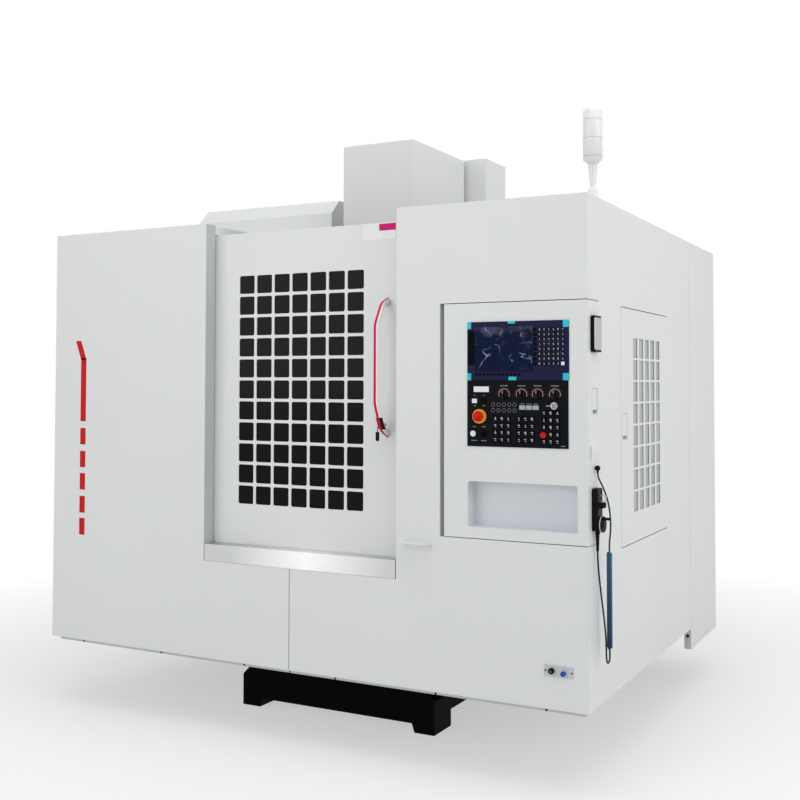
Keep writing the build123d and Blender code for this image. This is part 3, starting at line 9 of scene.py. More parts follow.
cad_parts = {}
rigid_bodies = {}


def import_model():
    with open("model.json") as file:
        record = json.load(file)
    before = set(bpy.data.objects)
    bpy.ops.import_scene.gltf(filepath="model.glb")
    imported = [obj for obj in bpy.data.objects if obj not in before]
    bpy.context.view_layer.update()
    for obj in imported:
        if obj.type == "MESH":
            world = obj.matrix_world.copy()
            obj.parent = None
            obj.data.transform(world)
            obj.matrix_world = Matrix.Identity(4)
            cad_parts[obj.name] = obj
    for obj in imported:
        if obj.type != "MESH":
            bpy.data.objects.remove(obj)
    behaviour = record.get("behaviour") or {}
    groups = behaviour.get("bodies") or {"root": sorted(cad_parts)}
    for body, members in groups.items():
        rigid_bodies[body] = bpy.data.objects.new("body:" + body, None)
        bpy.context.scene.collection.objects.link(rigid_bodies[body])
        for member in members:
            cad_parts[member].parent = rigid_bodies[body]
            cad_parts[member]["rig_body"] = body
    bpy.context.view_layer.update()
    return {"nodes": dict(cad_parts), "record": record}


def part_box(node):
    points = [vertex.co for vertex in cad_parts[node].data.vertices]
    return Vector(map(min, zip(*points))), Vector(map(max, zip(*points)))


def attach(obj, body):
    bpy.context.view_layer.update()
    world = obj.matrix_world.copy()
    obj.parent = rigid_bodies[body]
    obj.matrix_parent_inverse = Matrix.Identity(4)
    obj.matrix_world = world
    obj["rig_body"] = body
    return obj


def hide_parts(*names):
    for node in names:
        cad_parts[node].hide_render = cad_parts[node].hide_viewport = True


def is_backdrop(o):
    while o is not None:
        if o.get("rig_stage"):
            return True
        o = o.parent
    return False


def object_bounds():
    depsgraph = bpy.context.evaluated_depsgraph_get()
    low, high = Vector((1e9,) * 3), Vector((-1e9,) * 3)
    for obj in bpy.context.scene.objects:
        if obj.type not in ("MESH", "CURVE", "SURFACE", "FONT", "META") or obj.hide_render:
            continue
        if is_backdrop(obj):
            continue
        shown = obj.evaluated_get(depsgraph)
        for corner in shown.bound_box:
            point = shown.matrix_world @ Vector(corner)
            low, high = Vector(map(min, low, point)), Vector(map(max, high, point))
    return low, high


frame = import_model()

# Metres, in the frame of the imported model: X to the operator's right, Y to the rear, Z up.
front_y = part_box("front_panel_left")[0].y
right_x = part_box("side_panel_right")[1].x
rear_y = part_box("rear_panels")[1].y
chance = random.Random(7)
RIGHTWARD, UPWARD = (1, 0, 0), (0, 0, 1)
FRONTWARD, REARWARD = (0, -1, 0), (0, 1, 0)


def back(distance):
    """Y of a place this far behind the enclosure's front plane."""
    return front_y + distance


# Camera: the photograph was taken from the right, a little over the height of the keys.
camera_place = Vector((2.542, -4.9392, 1.4825))
camera_turn = 27.907
camera_tilt = 1.982
camera_roll = 0.12
focal_length = 49.155
picture_shift = -0.06705

camera_data = bpy.data.cameras.new("studio_camera")
camera_data.lens = focal_length
camera_data.sensor_width = 36.0
camera_data.shift_y = picture_shift
camera = bpy.data.objects.new("studio_camera", camera_data)
bpy.context.scene.collection.objects.link(camera)
camera.matrix_world = (
    Matrix.Translation(camera_place)
    @ Matrix.Rotation(math.radians(camera_turn), 4, "Z")
    @ Matrix.Rotation(math.radians(90 + camera_tilt), 4, "X")
    @ Matrix.Rotation(math.radians(camera_roll), 4, "Z")
)
bpy.context.scene.camera = camera
bpy.context.scene.view_settings.view_transform = "Standard"


# Material arithmetic.
class Signal:
    """A socket inside a material; arithmetic on it adds Math nodes."""

    def __init__(self, finish, socket):
        self.finish = finish
        self.socket = socket

    def math(self, operation, *others, first=None):
        values = (self, *others) if first is None else (first, self)
        return self.finish.node("ShaderNodeMath", {"operation": operation}, dict(enumerate(values)))

    def __add__(self, other):
        return self.math("ADD", other)

    def __sub__(self, other):
        return self.math("SUBTRACT", other)

    def __rsub__(self, other):
        return self.math("SUBTRACT", first=other)

    def __mul__(self, other):
        return self.math("MULTIPLY", other)

    def __truediv__(self, other):
        return self.math("DIVIDE", other)

    def __gt__(self, other):
        return self.math("GREATER_THAN", other)

    def __lt__(self, other):
        return self.math("LESS_THAN", other)

    def __abs__(self):
        return self.math("ABSOLUTE")

    def wave(self):
        return self.math("SINE")

    def clamped(self):
        """The same signal, held between 0 and 1."""
        return self.finish.node("ShaderNodeClamp", sockets={"Value": self})

    __radd__ = __add__
    __rmul__ = __mul__


class Finish:
    """A material with one Principled shader, whose sockets take numbers, colours or signals."""

    def __init__(self, name, **sockets):
        self.material = bpy.data.materials.new(name)
        self.material.use_nodes = True
        self.nodes = self.material.node_tree.nodes
        self.links = self.material.node_tree.links
        self.shader = self.nodes["Principled BSDF"]
        self.set(**sockets)

    def set(self, **sockets):
        for name, value in sockets.items():
            self.feed(self.shader.inputs[name.replace("_", " ")], value)

    def feed(self, socket, value):
        if isinstance(value, Signal):
            self.links.new(value.socket, socket)
        elif isinstance(value, (tuple, list)):
            lacks_alpha = socket.type == "RGBA" and len(value) == 3
            socket.default_value = (*value, 1.0) if lacks_alpha else value
        else:
            socket.default_value = value

    def node(self, kind, settings=None, sockets=None, output=0):
        made = self.nodes.new(kind)
        for name, value in (settings or {}).items():
            setattr(made, name, value)
        for name, value in (sockets or {}).items():
            self.feed(made.inputs[name], value)
        return Signal(self, made.outputs[output])

    def place(self):
        return self.node("ShaderNodeTexCoord", output="Object")

    def split(self, vector):
        """The three components of a vector."""
        made = self.nodes.new("ShaderNodeSeparateXYZ")
        self.feed(made.inputs[0], vector)
        return [Signal(self, made.outputs[n]) for n in range(3)]

    def axes(self):
        return self.split(self.place())

    def stretched(self, factors):
        sockets = {"Vector": self.place(), "Scale": factors}
        return self.node("ShaderNodeMapping", sockets=sockets)

    def noise(self, scale, detail=2.0, vector=None, roughness=0.5):
        sockets = {
            "Vector": vector or self.place(),
            "Scale": scale,
            "Detail": detail,
            "Roughness": roughness,
        }
        return self.node("ShaderNodeTexNoise", sockets=sockets)

    def blend(self, factor, low, high, mode="MIX"):
        """A colour between two others, or their product."""
        made = self.nodes.new("ShaderNodeMix")
        made.data_type = "RGBA"
        made.blend_type = mode
        self.feed(made.inputs["Factor"], factor)
        self.feed(made.inputs[6], low)
        self.feed(made.inputs[7], high)
        return Signal(self, made.outputs[2])

    def bump(self, height, strength, distance):
        sockets = {"Height": height, "Strength": strength, "Distance": distance}
        self.set(Normal=self.node("ShaderNodeBump", sockets=sockets))


def tint(color, factor):
    """The same colour, lighter or darker."""
    return tuple(min(1.0, channel * factor) for channel in color)


def powder_coat(name, color, gloss=0.42):
    """Baked paint: fine orange peel, a little drift in tone and gloss."""
    made = Finish(name, Coat_Weight=0.12, Coat_Roughness=0.25)
    drift = made.noise(1.7, detail=3.0)
    made.set(Base_Color=made.blend(drift, tint(color, 0.972), tint(color, 1.02)))
    made.set(Roughness=made.noise(9.0) * 0.12 + (gloss - 0.06))
    made.bump(made.noise(900.0, detail=1.0), 0.06, 0.0004)
    return made.material


def cast_paint(name, color, shine=0.5):
    """Paint over a sand casting: coarse and fine lumps under a satin skin."""
    made = Finish(name, Specular_IOR_Level=shine)
    lumps = made.noise(55.0, detail=6.0, roughness=0.6)
    grain = made.noise(420.0, detail=2.0)
    drift = made.noise(6.0, detail=4.0)
    made.set(Base_Color=made.blend(drift, tint(color, 0.75), tint(color, 1.5)))
    made.set(Roughness=lumps * 0.25 + 0.38)
    made.bump(lumps * 0.7 + grain * 0.3, 0.35, 0.0012)
    return made.material


def brushed_metal(name, color, along, gloss):
    """Metal with long fine scratches along one axis (0, 1 or 2)."""
    made = Finish(name, Metallic=1.0)
    factors = [90.0, 90.0, 90.0]
    factors[along] = 1.2
    streaks = made.noise(9.0, detail=5.0, vector=made.stretched(tuple(factors)), roughness=0.7)
    made.set(Base_Color=made.blend(streaks, tint(color, 0.86), tint(color, 1.1)))
    made.set(Roughness=streaks * 0.2 + (gloss - 0.1))
    made.bump(streaks, 0.05, 0.0003)
    return made.material


def ground_metal(name, color):
    """Machined steel: crossed fine marks and soft smudges of oil."""
    made = Finish(name, Metallic=1.0)
    marks = made.noise(70.0, detail=6.0, roughness=0.75)
    smudge = made.noise(7.0, detail=4.0)
    made.set(Base_Color=made.blend(smudge, tint(color, 0.8), tint(color, 1.08)))
    made.set(Roughness=marks * 0.14 + smudge * 0.16 + 0.18)
    made.bump(marks, 0.04, 0.0002)
    return made.material


def moulded_plastic(name, color, gloss, grain, shine=0.5):
    """Moulded plastic with a fine spark-eroded grain."""
    made = Finish(name, Specular_IOR_Level=shine)
    cells = made.noise(1500.0, detail=1.0)
    made.set(Base_Color=made.blend(made.noise(30.0), tint(color, 0.9), tint(color, 1.1)))
    made.set(Roughness=made.noise(60.0) * 0.1 + (gloss - 0.05))
    made.bump(cells, grain, 0.0002)
    return made.material


def window_pane():
    """Dark polycarbonate seen from outside as near black, with faint haze."""
    made = Finish("dark_polycarbonate", Specular_IOR_Level=0.06)
    haze = made.noise(3.0, detail=4.0)
    made.set(Base_Color=made.blend(haze, (0.0035, 0.0036, 0.004), (0.007, 0.007, 0.008)))
    made.set(Roughness=haze * 0.1 + 0.12)
    return made.material


def screen_film_painted_reflections():
    """Unlit screen under a slack protective film: deep blue, with painted reflections on the film,
    a violet-grey sheen on the folds and thin painted glints.
    """
    made = Finish("screen_under_film_painted_reflections", Specular_IOR_Level=0.03)
    z = made.axes()[2]
    sheen_start_z = 1.650
    folds = made.noise(24.0, detail=3.0, roughness=0.55)
    curls = made.noise(15.0, detail=1.0)
    # Painted sheen: the folds turn violet-grey, more so higher up.
    haze = ((folds - 0.48) * 5.0 + (z - sheen_start_z) * 14.0).clamped()
    # Painted glints: thin near-white lines along the folds.
    painted_glint_line = (1.0 - abs(curls - 0.5) * 70.0).clamped()
    painted_glint = painted_glint_line * ((folds - 0.46) * 6.0).clamped()
    tone = made.blend(haze, (0.003, 0.008, 0.036), (0.062, 0.064, 0.115))
    made.set(Base_Color=made.blend(painted_glint, tone, (0.36, 0.39, 0.50)))
    made.set(Roughness=folds * 0.2 + 0.2)
    made.bump(folds, 0.2, 0.002)
    return made.material


def handle_paint(white, red, pink, black, middle_z):
    """White tube with a red band on its outer side, pinker above the middle, and a black sleeve."""
    made = Finish("handle_white_with_red_band", Specular_IOR_Level=0.15)
    z = made.axes()[2]
    sleeve_low, sleeve_high = 1.303, 1.350
    pinkest_z = middle_z + 0.10
    sideways, forward, upward = made.split(made.node("ShaderNodeTexCoord", output="Normal"))
    above = (z > middle_z) * 2.0 - 1.0
    outward = upward * above - forward
    band = (sideways > -0.28) * (sideways < 0.50) * (outward > 0.25)
    sleeve = (z > sleeve_low) * (z < sleeve_high)
    pinker = (1.2 - abs(z - pinkest_z) * 7.0).clamped()
    base = made.blend(sleeve, white, black)
    made.set(Base_Color=made.blend(band, base, made.blend(pinker, red, pink)))
    made.set(Roughness=made.noise(40.0) * 0.1 + 0.28)
    made.bump(made.noise(700.0), 0.04, 0.0003)
    return made.material


def sill_steel_painted_highlight(highlight_x):
    """Brushed stainless steel with a painted reflection highlight, brightest at one place along its
    length.
    """
    made = Finish("brushed_stainless_sill_painted_highlight", Metallic=1.0)
    streaks = made.noise(9.0, detail=5.0, vector=made.stretched((1.2, 90.0, 90.0)), roughness=0.7)
    # Painted highlight: the tone is lightest at one place along X and darker farther from it.
    highlight_falloff = (abs(made.axes()[0] - highlight_x) * 2.6).clamped()
    tone = made.blend(highlight_falloff, (0.92, 0.92, 0.91), (0.56, 0.57, 0.58))
    shade = made.blend(streaks, (0.86, 0.86, 0.86), (1.0, 1.0, 1.0))
    made.set(Base_Color=made.blend(1.0, tone, shade, "MULTIPLY"))
    made.set(Roughness=streaks * 0.2 + 0.26)
    made.bump(streaks, 0.05, 0.0003)
    return made.material


def filter_mat():
    """Coarse woven filter mat behind the grille: light grey, with a fine diagonal weave."""
    made = Finish("grille_filter_mat")
    y, z = made.axes()[1:]
    threads = 1500.0
    weave = ((y + z) * threads).wave() * ((y - z) * threads).wave() * 0.5 + 0.5
    mottle = made.noise(4.0, detail=3.0) * 0.7 + weave * 0.3
    made.set(Base_Color=made.blend(mottle, (0.36, 0.37, 0.37), (0.60, 0.61, 0.61)))
    made.set(Roughness=weave * 0.2 + 0.7)
    made.bump(weave, 0.3, 0.0006)
    return made.material


def lamp_plastic():
    """Milky lamp cover with fine upright ribs."""
    made = Finish("milky_lamp_cover", Coat_Weight=0.25, Subsurface_Weight=0.15)
    ribs = (made.axes()[2] * 2400.0).wave() * 0.5 + 0.5
    made.set(Base_Color=made.blend(made.noise(12.0), (0.76, 0.77, 0.76), (0.84, 0.84, 0.83)))
    made.set(Roughness=made.noise(25.0) * 0.1 + 0.25)
    made.bump(ribs, 0.08, 0.0004)
    return made.material


def cord_rubber(coil_low, coil_high, centre):
    """Black cord whose curly stretch is blue, darker towards its lower end."""
    made = Finish("cord_black_and_blue", Specular_IOR_Level=0.3)
    x, y, z = made.axes()
    coil_reach = 0.026
    reach = abs(x - centre[0]) + abs(y - centre[1])
    curly = (reach < coil_reach) * (z > coil_low) * (z < coil_high)
    height = ((z - coil_low) / (coil_high - coil_low)).clamped()
    blue = made.blend(height, (0.006, 0.026, 0.10), (0.024, 0.13, 0.22))
    made.set(Base_Color=made.blend(curly, (0.006, 0.006, 0.007), blue))
    made.set(Roughness=made.noise(200.0) * 0.15 + 0.33)
    made.bump(made.noise(1200.0), 0.1, 0.0002)
    return made.material


WHITE = (0.74, 0.755, 0.745)
paint = {
    "coat": powder_coat("light_powder_coat", WHITE),
    "grey": powder_coat("grey_powder_coat", (0.34, 0.35, 0.35), 0.5),
    # painted shade for the return faces beside the door and for the rims round the latches
    "painted_edge_shade": powder_coat("painted_edge_shade_coat", (0.50, 0.51, 0.51), 0.5),
    # bluish painted shade for the lower lip, which sits back under the front sheets
    "lip": powder_coat("lip_powder_coat", (0.50, 0.525, 0.54), 0.5),
    "tray": powder_coat("tray_powder_coat", (0.69, 0.715, 0.75)),
    "fitting": powder_coat("fitting_plate_grey", (0.56, 0.575, 0.59)),
    # the sill's brushed steel carries a painted reflection highlight
    "stainless": sill_steel_painted_highlight(0.095),
    "mat": filter_mat(),
    "cast": cast_paint("black_cast_paint", (0.0015, 0.0015, 0.0018), 0.03),
    "inner_cast": cast_paint("grey_cast_paint", (0.16, 0.17, 0.17)),
    "ground": ground_metal("ground_steel", (0.50, 0.50, 0.51)),
    "folded": brushed_metal("folded_cover_steel", (0.55, 0.56, 0.57), 0, 0.34),
    "dark": moulded_plastic("black_plastic", (0.004, 0.004, 0.0045), 0.4, 0.15, 0.08),
    "panel": moulded_plastic("key_panel_film", (0.0048, 0.0062, 0.0090), 0.45, 0.05, 0.04),
    "navy": moulded_plastic("screen_bezel_navy", (0.0060, 0.0068, 0.042), 0.3, 0.04, 0.08),
    "keycap": moulded_plastic("key_cap_black", (0.0015, 0.0015, 0.002), 0.4, 0.08, 0.03),
    "legend": moulded_plastic("legend_white", (0.62, 0.63, 0.64), 0.5, 0.02),
    "faint": moulded_plastic("legend_grey", (0.22, 0.23, 0.25), 0.5, 0.02),
    "red": moulded_plastic("signal_red", (0.62, 0.003, 0.004), 0.3, 0.04, 0.15),
    "yellow": moulded_plastic("signal_yellow", (0.84, 0.42, 0.012), 0.28, 0.04, 0.25),
    "white": moulded_plastic("button_white", (0.78, 0.78, 0.77), 0.3, 0.04),
    "blue": moulded_plastic("valve_blue", (0.010, 0.05, 0.40), 0.25, 0.04, 0.25),
    "cyan": moulded_plastic("film_tab_cyan", (0.015, 0.55, 0.68), 0.35, 0.02, 0.2),
    "magenta": moulded_plastic("card_magenta", (0.60, 0.006, 0.17), 0.4, 0.02, 0.12),
    "lid": brushed_metal("satin_lid", (0.50, 0.51, 0.51), 2, 0.42),
    "livery": moulded_plastic("livery_red", (0.58, 0.006, 0.006), 0.35, 0.02, 0.15),
    "pane": window_pane(),
    "screen": screen_film_painted_reflections(),
    "lamp": lamp_plastic(),
}


# Modelling by hand: small tools that start from a primitive and finish with its place in its mesh.
def unselect():
    if bpy.context.object and bpy.context.object.mode != "OBJECT":
        bpy.ops.object.mode_set(mode="OBJECT")
    bpy.ops.object.select_all(action="DESELECT")


def choose(piece):
    unselect()
    piece.select_set(True)
    bpy.context.view_layer.objects.active = piece


def settle(piece, name):
    """Names a fresh primitive and moves its place, turn and size into its mesh."""
    choose(piece)
    piece.name = name
    piece.data.name = name
    bpy.ops.object.transform_apply(location=True, rotation=True, scale=True)
    return piece


def soften(piece, width, segments=2):
    """Rounds the edges with a bevel that is applied."""
    sharp = math.radians(32.0)
    choose(piece)
    bpy.ops.object.shade_smooth_by_angle(angle=sharp)
    edge = piece.modifiers.new("rounding", "BEVEL")
    edge.width = width
    edge.segments = segments
    edge.limit_method = "ANGLE"
    edge.angle_limit = sharp
    edge.harden_normals = True
    bpy.ops.object.modifier_apply(modifier=edge.name)
    return piece


def cube(name, low, high):
    """A plain block between two corners."""
    unselect()
    low, high = Vector(low), Vector(high)
    bpy.ops.mesh.primitive_cube_add(size=1, location=(low + high) / 2)
    piece = bpy.context.object
    piece.scale = high - low
    return settle(piece, name)


def block(name, low, high, rounding, segments=2):
    """A block between two corners with rounded edges."""
    return soften(cube(name, low, high), rounding, segments)


def plate(name, x, z, half_w, half_h, face, thickness, rounding):
    """A thin plate on a face that looks to the front."""
    low = (x - half_w, face - thickness, z - half_h)
    high = (x + half_w, face, z + half_h)
    return block(name, low, high, rounding, 1)


def pillow(name, low, high, radius, axis, rounding=0.0004):
    """A block whose edges along one axis are rounded to a radius, and the rest slightly."""
    piece = cube(name, low, high)
    bpy.ops.object.mode_set(mode="EDIT")
    bpy.ops.mesh.select_mode(type="EDGE")
    shape = bmesh.from_edit_mesh(piece.data)
    for edge in shape.edges:
        run = edge.verts[1].co - edge.verts[0].co
        edge.select_set(abs(run[axis]) > 0.99 * run.length)
    shape.select_flush_mode()
    bmesh.update_edit_mesh(piece.data)
    bpy.ops.mesh.bevel(offset=radius, segments=6)
    bpy.ops.object.mode_set(mode="OBJECT")
    return soften(piece, rounding)


def turned(name, base, axis, stations, sides):
    """A turned piece: (radius, distance along the axis) stations, extruded ring by ring."""
    unselect()
    axis = Vector(axis).normalized()
    turn = axis.to_track_quat("Z", "Y").to_euler()
    start = Vector(base) + axis * stations[0][1]
    bpy.ops.mesh.primitive_circle_add(
        vertices=sides, radius=stations[0][0], fill_type="NGON", location=start, rotation=turn
    )
    piece = bpy.context.object
    settle(piece, name)
    bpy.ops.object.mode_set(mode="EDIT")
    bpy.ops.mesh.select_all(action="SELECT")
    for before, after in zip(stations, stations[1:]):
        step = axis * (after[1] - before[1])
        bpy.ops.mesh.extrude_region_move(TRANSFORM_OT_translate={"value": step})
        factor = after[0] / before[0]
        if abs(factor - 1) > 1e-6:
            bpy.ops.transform.resize(value=(factor, factor, factor))
    bpy.ops.mesh.select_all(action="SELECT")
    bpy.ops.mesh.normals_make_consistent(inside=False)
    bpy.ops.object.mode_set(mode="OBJECT")
    choose(piece)
    bpy.ops.object.shade_smooth_by_angle(angle=math.radians(35.0))
    return piece


def ring(name, centre, axis, radius, thickness, sides=32):
    """A round ring, such as a lamp's rim or a ridge on a sleeve."""
    unselect()
    turn = Vector(axis).to_track_quat("Z", "Y").to_euler()
    bpy.ops.mesh.primitive_torus_add(
        major_radius=radius,
        minor_radius=thickness / 2,
        major_segments=sides,
        minor_segments=8,
        location=centre,
        rotation=turn,
    )
    piece = settle(bpy.context.object, name)
    bpy.ops.object.shade_smooth()
    return piece


def joined(pieces, name):
    """Several pieces made one."""
    unselect()
    for piece in pieces:
        piece.select_set(True)
    bpy.context.view_layer.objects.active = pieces[0]
    bpy.ops.object.join()
    pieces[0].name = name
    pieces[0].data.name = name
    return pieces[0]


def copied(piece, name, offset):
    """A copy with its own mesh, moved by an offset."""
    choose(piece)
    bpy.ops.object.duplicate(linked=False)
    twin = bpy.context.object
    twin.location = offset
    return settle(twin, name)


def spun(piece, centre, axis, degrees):
    """Turns a piece about a line."""
    centre = Vector(centre)
    turn = Matrix.Rotation(math.radians(degrees), 4, Vector(axis))
    piece.matrix_world = Matrix.Translation(centre) @ turn @ Matrix.Translation(-centre)
    return settle(piece, piece.name)


def leaning(piece, above, offset):
    """Moves what lies above a height sideways, so that the piece leans."""
    choose(piece)
    bpy.ops.object.mode_set(mode="EDIT")
    shape = bmesh.from_edit_mesh(piece.data)
    for corner in shape.verts:
        corner.select_set(corner.co.z > above)
    shape.select_flush_mode()
    bmesh.update_edit_mesh(piece.data)
    bpy.ops.transform.translate(value=offset)
    bpy.ops.object.mode_set(mode="OBJECT")


def finish(piece, body, slot, material):
    """Gives a piece its body and its material; its slot argument is not used."""
    piece.data.materials.clear()
    piece.data.materials.append(material)
    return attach(piece, body)


def dressed(node, name, material, rounding, segments=2):
    """A copy of a CAD node with merged corners and rounded edges, which stands for the node."""
    source = frame["nodes"][node]
    piece = source.copy()
    piece.data = source.data.copy()
    for key in list(piece.keys()):
        if key.startswith("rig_"):
            del piece[key]
    piece.parent = None
    piece.name = name
    piece.data.name = name
    bpy.context.scene.collection.objects.link(piece)
    choose(piece)
    bpy.ops.object.mode_set(mode="EDIT")
    bpy.ops.mesh.select_all(action="SELECT")
    bpy.ops.mesh.remove_doubles(threshold=0.00001)
    bpy.ops.mesh.dissolve_limited(angle_limit=math.radians(0.4))
    bpy.ops.object.mode_set(mode="OBJECT")
    if piece.data.has_custom_normals:
        bpy.ops.mesh.customdata_custom_splitnormals_clear()
    if rounding:
        soften(piece, rounding, segments)
    body = source["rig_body"]
    slot = next(s["material_slot"] for s in frame["record"]["subparts"] if s["node"] == node)
    finish(piece, body, slot, material)
    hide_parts(node)
    return piece


def repaint(piece, material, test):
    """Gives the faces whose centre passes a test another material."""
    piece.data.materials.append(material)
    index = len(piece.data.materials) - 1
    for face in piece.data.polygons:
        if test(face.center):
            face.material_index = index


def paint_node(node, material):
    """A CAD node that keeps its own shape, in a better material."""
    data = frame["nodes"][node].data
    data.materials.clear()
    data.materials.append(material)


def middle(node):
    """X, Y and Z of the middle of a CAD node's box."""
    low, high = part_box(node)
    return [(a + b) / 2 for a, b in zip(low, high)]


# The cord comes first: one line from the box's grommet through the coil to the pulse unit.
coil_low, coil_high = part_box("cord_coil")
pulse_low, pulse_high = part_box("pulse_unit")
cord_width = 0.0065
coil_x, coil_y, _ = middle("cord_coil")
coil_outer = (coil_high.x - coil_low.x) / 2
coil_turns = 55
points_per_turn = 12
pulse_x = right_x + 0.013
pulse_y = back(0.064)
relief_end = pulse_low.z
turn_z = coil_low.z - 0.040
grommet_y = back(0.078)
grommet_z = 1.178
upper_route = [
    (right_x + 0.010, grommet_y, grommet_z - 0.016),
    (right_x + 0.010, grommet_y, grommet_z - 0.032),
    (right_x + 0.022, grommet_y + 0.021, grommet_z - 0.066),
    (right_x + 0.040, grommet_y + 0.026, grommet_z - 0.116),
    (right_x + 0.049, coil_y, grommet_z - 0.174),
    (right_x + 0.049, coil_y, grommet_z - 0.233),
    (coil_x, coil_y, coil_high.z + 0.028),
    (coil_x, coil_y, coil_high.z),
]
lower_route = [
    (coil_x, coil_y, coil_low.z),
    (coil_x, coil_y, turn_z),
    (coil_x, pulse_y, turn_z),
    (coil_x, pulse_y, relief_end - 0.309),
    (pulse_x + 0.021, pulse_y, relief_end - 0.219),
    (pulse_x + 0.008, pulse_y, relief_end - 0.119),
    (pulse_x, pulse_y, relief_end - 0.030),
    (pulse_x, pulse_y, relief_end),
]
helix_radius = coil_outer - cord_width / 2
helix_top = coil_high.z - cord_width
helix_bottom = coil_low.z + cord_width
helix = []
helix_steps = coil_turns * points_per_turn
swell_steps = 8
for step in range(helix_steps + 1):
    share = step / helix_steps
    swell = min(1.0, step / swell_steps, (helix_steps - step) / swell_steps)
    angle = 2 * math.pi * step / points_per_turn
    helix.append(
        (
            coil_x + helix_radius * swell * math.cos(angle),
            coil_y + helix_radius * swell * math.sin(angle),
            helix_top + (helix_bottom - helix_top) * share,
        )
    )
route = upper_route + helix + lower_route

cord_curve = bpy.data.curves.new("pulse_cord", "CURVE")
cord_curve.dimensions = "3D"
cord_curve.bevel_depth = cord_width / 2
cord_curve.bevel_resolution = 2
cord_curve.resolution_u = 3
cord_curve.use_fill_caps = True
line = cord_curve.splines.new("NURBS")
line.points.add(len(route) - 1)
for knot, place in zip(line.points, route):
    knot.co = (*place, 1.0)
line.order_u = 3
line.use_endpoint_u = True
cord = bpy.data.objects.new("pulse_cord", cord_curve)
bpy.context.scene.collection.objects.link(cord)
cord_finish = cord_rubber(coil_low.z, coil_high.z, (coil_x, coil_y))
finish(cord, "control_console", "cord_jacket", cord_finish)
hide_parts("cord_upper", "cord_coil", "cord_lower")

# Sheets, castings and mechanisms that keep their CAD shape, with rounded edges.
sheet_pieces = {
    "front_panel_left": ("left_front_sheet", "coat", 0.0011),
    "front_panel_right": ("right_front_sheet", "coat", 0.0011),
    "side_panel_left": ("left_side_sheet", "coat", 0.0011),
    "side_panel_right": ("right_side_sheet", "coat", 0.0011),
    "rear_panels": ("rear_sheets", "coat", 0.0011),
    "roof_panels": ("roof_sheets", "coat", 0.0011),
    "magazine_hood": ("magazine_cover", "coat", 0.0020),
    "column_cover": ("column_cap", "coat", 0.0020),
    "head_cover": ("head_shell", "coat", 0.0020),
    "door_panel": ("door_sheet", "coat", 0.0009),
    "side_door": ("service_door_sheet", "coat", 0.0009),
    "cabinet_door": ("rear_door_sheet", "coat", 0.0009),
    "electrical_cabinet": ("cabinet_shell", "grey", 0.0009),
    "door_sill": ("threshold_plate", "stainless", 0.0009),
    "door_header": ("header_channel", "grey", 0.0009),
    "splash_guards": ("inner_guards", "grey", 0.0009),
    "chip_pan": ("chip_tray", "grey", 0.0009),
    "gun_holder": ("gun_shelf", "coat", 0.0007),
    "bed_casting": ("bed", "cast", 0.0035),
    "column_casting": ("column", "inner_cast", 0.0035),
    "headstock": ("head_casting", "inner_cast", 0.0025),
    "saddle": ("saddle_casting", "inner_cast", 0.0016),
    "magazine_bracket": ("changer_bracket", "inner_cast", 0.0020),
    "work_table": ("tee_slot_table", "ground", 0.0008),
    "tool_arm": ("gripper_arm", "ground", 0.0016),
    "tool_disc": ("pot_wheel", "ground", 0.0008),
    "spindle": ("spindle_nose", "ground", 0.0006),
}
sheets = {}
for node, (name, finish_name, rounding) in sheet_pieces.items():
    sheets[node] = dressed(node, name, paint[finish_name], rounding)

# The front sheets' returns: painted shade on the faces beside the door, and a bluish painted shade
# on the lower lip.
returns_y = back(0.0035)
lip_top_z = 0.3065
sill_low, sill_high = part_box("door_sill")
sill_gap = 0.003
for node, edge_x in (
    ("front_panel_left", sill_low.x - sill_gap),
    ("front_panel_right", sill_high.x + sill_gap),
):
    repaint(
        sheets[node], paint["painted_edge_shade"], lambda c: c.y > returns_y and abs(c.x - edge_x) < 0.0015
    )
    repaint(sheets[node], paint["lip"], lambda c: c.y > returns_y and c.z < lip_top_z)
mat_low = (right_x - 0.0090, back(0.572), 0.953)
mat_high = (right_x - 0.0050, back(1.008), 1.686)
finish(block("grille_mat", mat_low, mat_high, 0.0008), "service_door", "paint_light", paint["mat"])

cover_low, cover_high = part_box("column_cover")
cover_inset = 0.0020
cover_front = block(
    "column_cover_front",
    (cover_low.x + cover_inset, cover_low.y, 2.200),
    (cover_high.x - cover_inset, cover_low.y + 0.0028, cover_high.z - cover_inset),
    0.0006,
)
finish(cover_front, "machine_base", "paint_light", paint["coat"])

paint_node("guide_rails", paint["ground"])
paint_node("feed_drives", paint["dark"])
paint_node("x_feed_drive", paint["dark"])
paint_node("tool_arm_shaft", paint["ground"])
for node in ("way_covers_fixed", "way_cover_y_middle", "way_cover_z_middle"):
    paint_node(node, paint["folded"])
paint_node("door_window", paint["pane"])

# Control box, screen and key panel.
control_box = dressed("control_box", "console_shell", paint["coat"], 0.0014, 3)
port_low, port_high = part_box("port_lid")
side_x = right_x + 0.0005
port_box_z = 1.60
grommet_box = (back(0.066), grommet_z - 0.017, grommet_z + 0.011)
tray_low, tray_high = (0.826, back(0.0015), 0.9445), (1.260, back(0.0605), 1.1175)


def on_grommet(c):
    near_y, low_z, high_z = grommet_box
    return c.x > side_x and c.y > near_y and low_z < c.z < high_z


def in_tray(c):
    return all(low < value < high for low, value, high in zip(tray_low, c, tray_high))


repaint(control_box, paint["dark"], lambda c: c.x > side_x and c.z > port_box_z)
repaint(control_box, paint["dark"], on_grommet)
repaint(control_box, paint["tray"], in_tray)

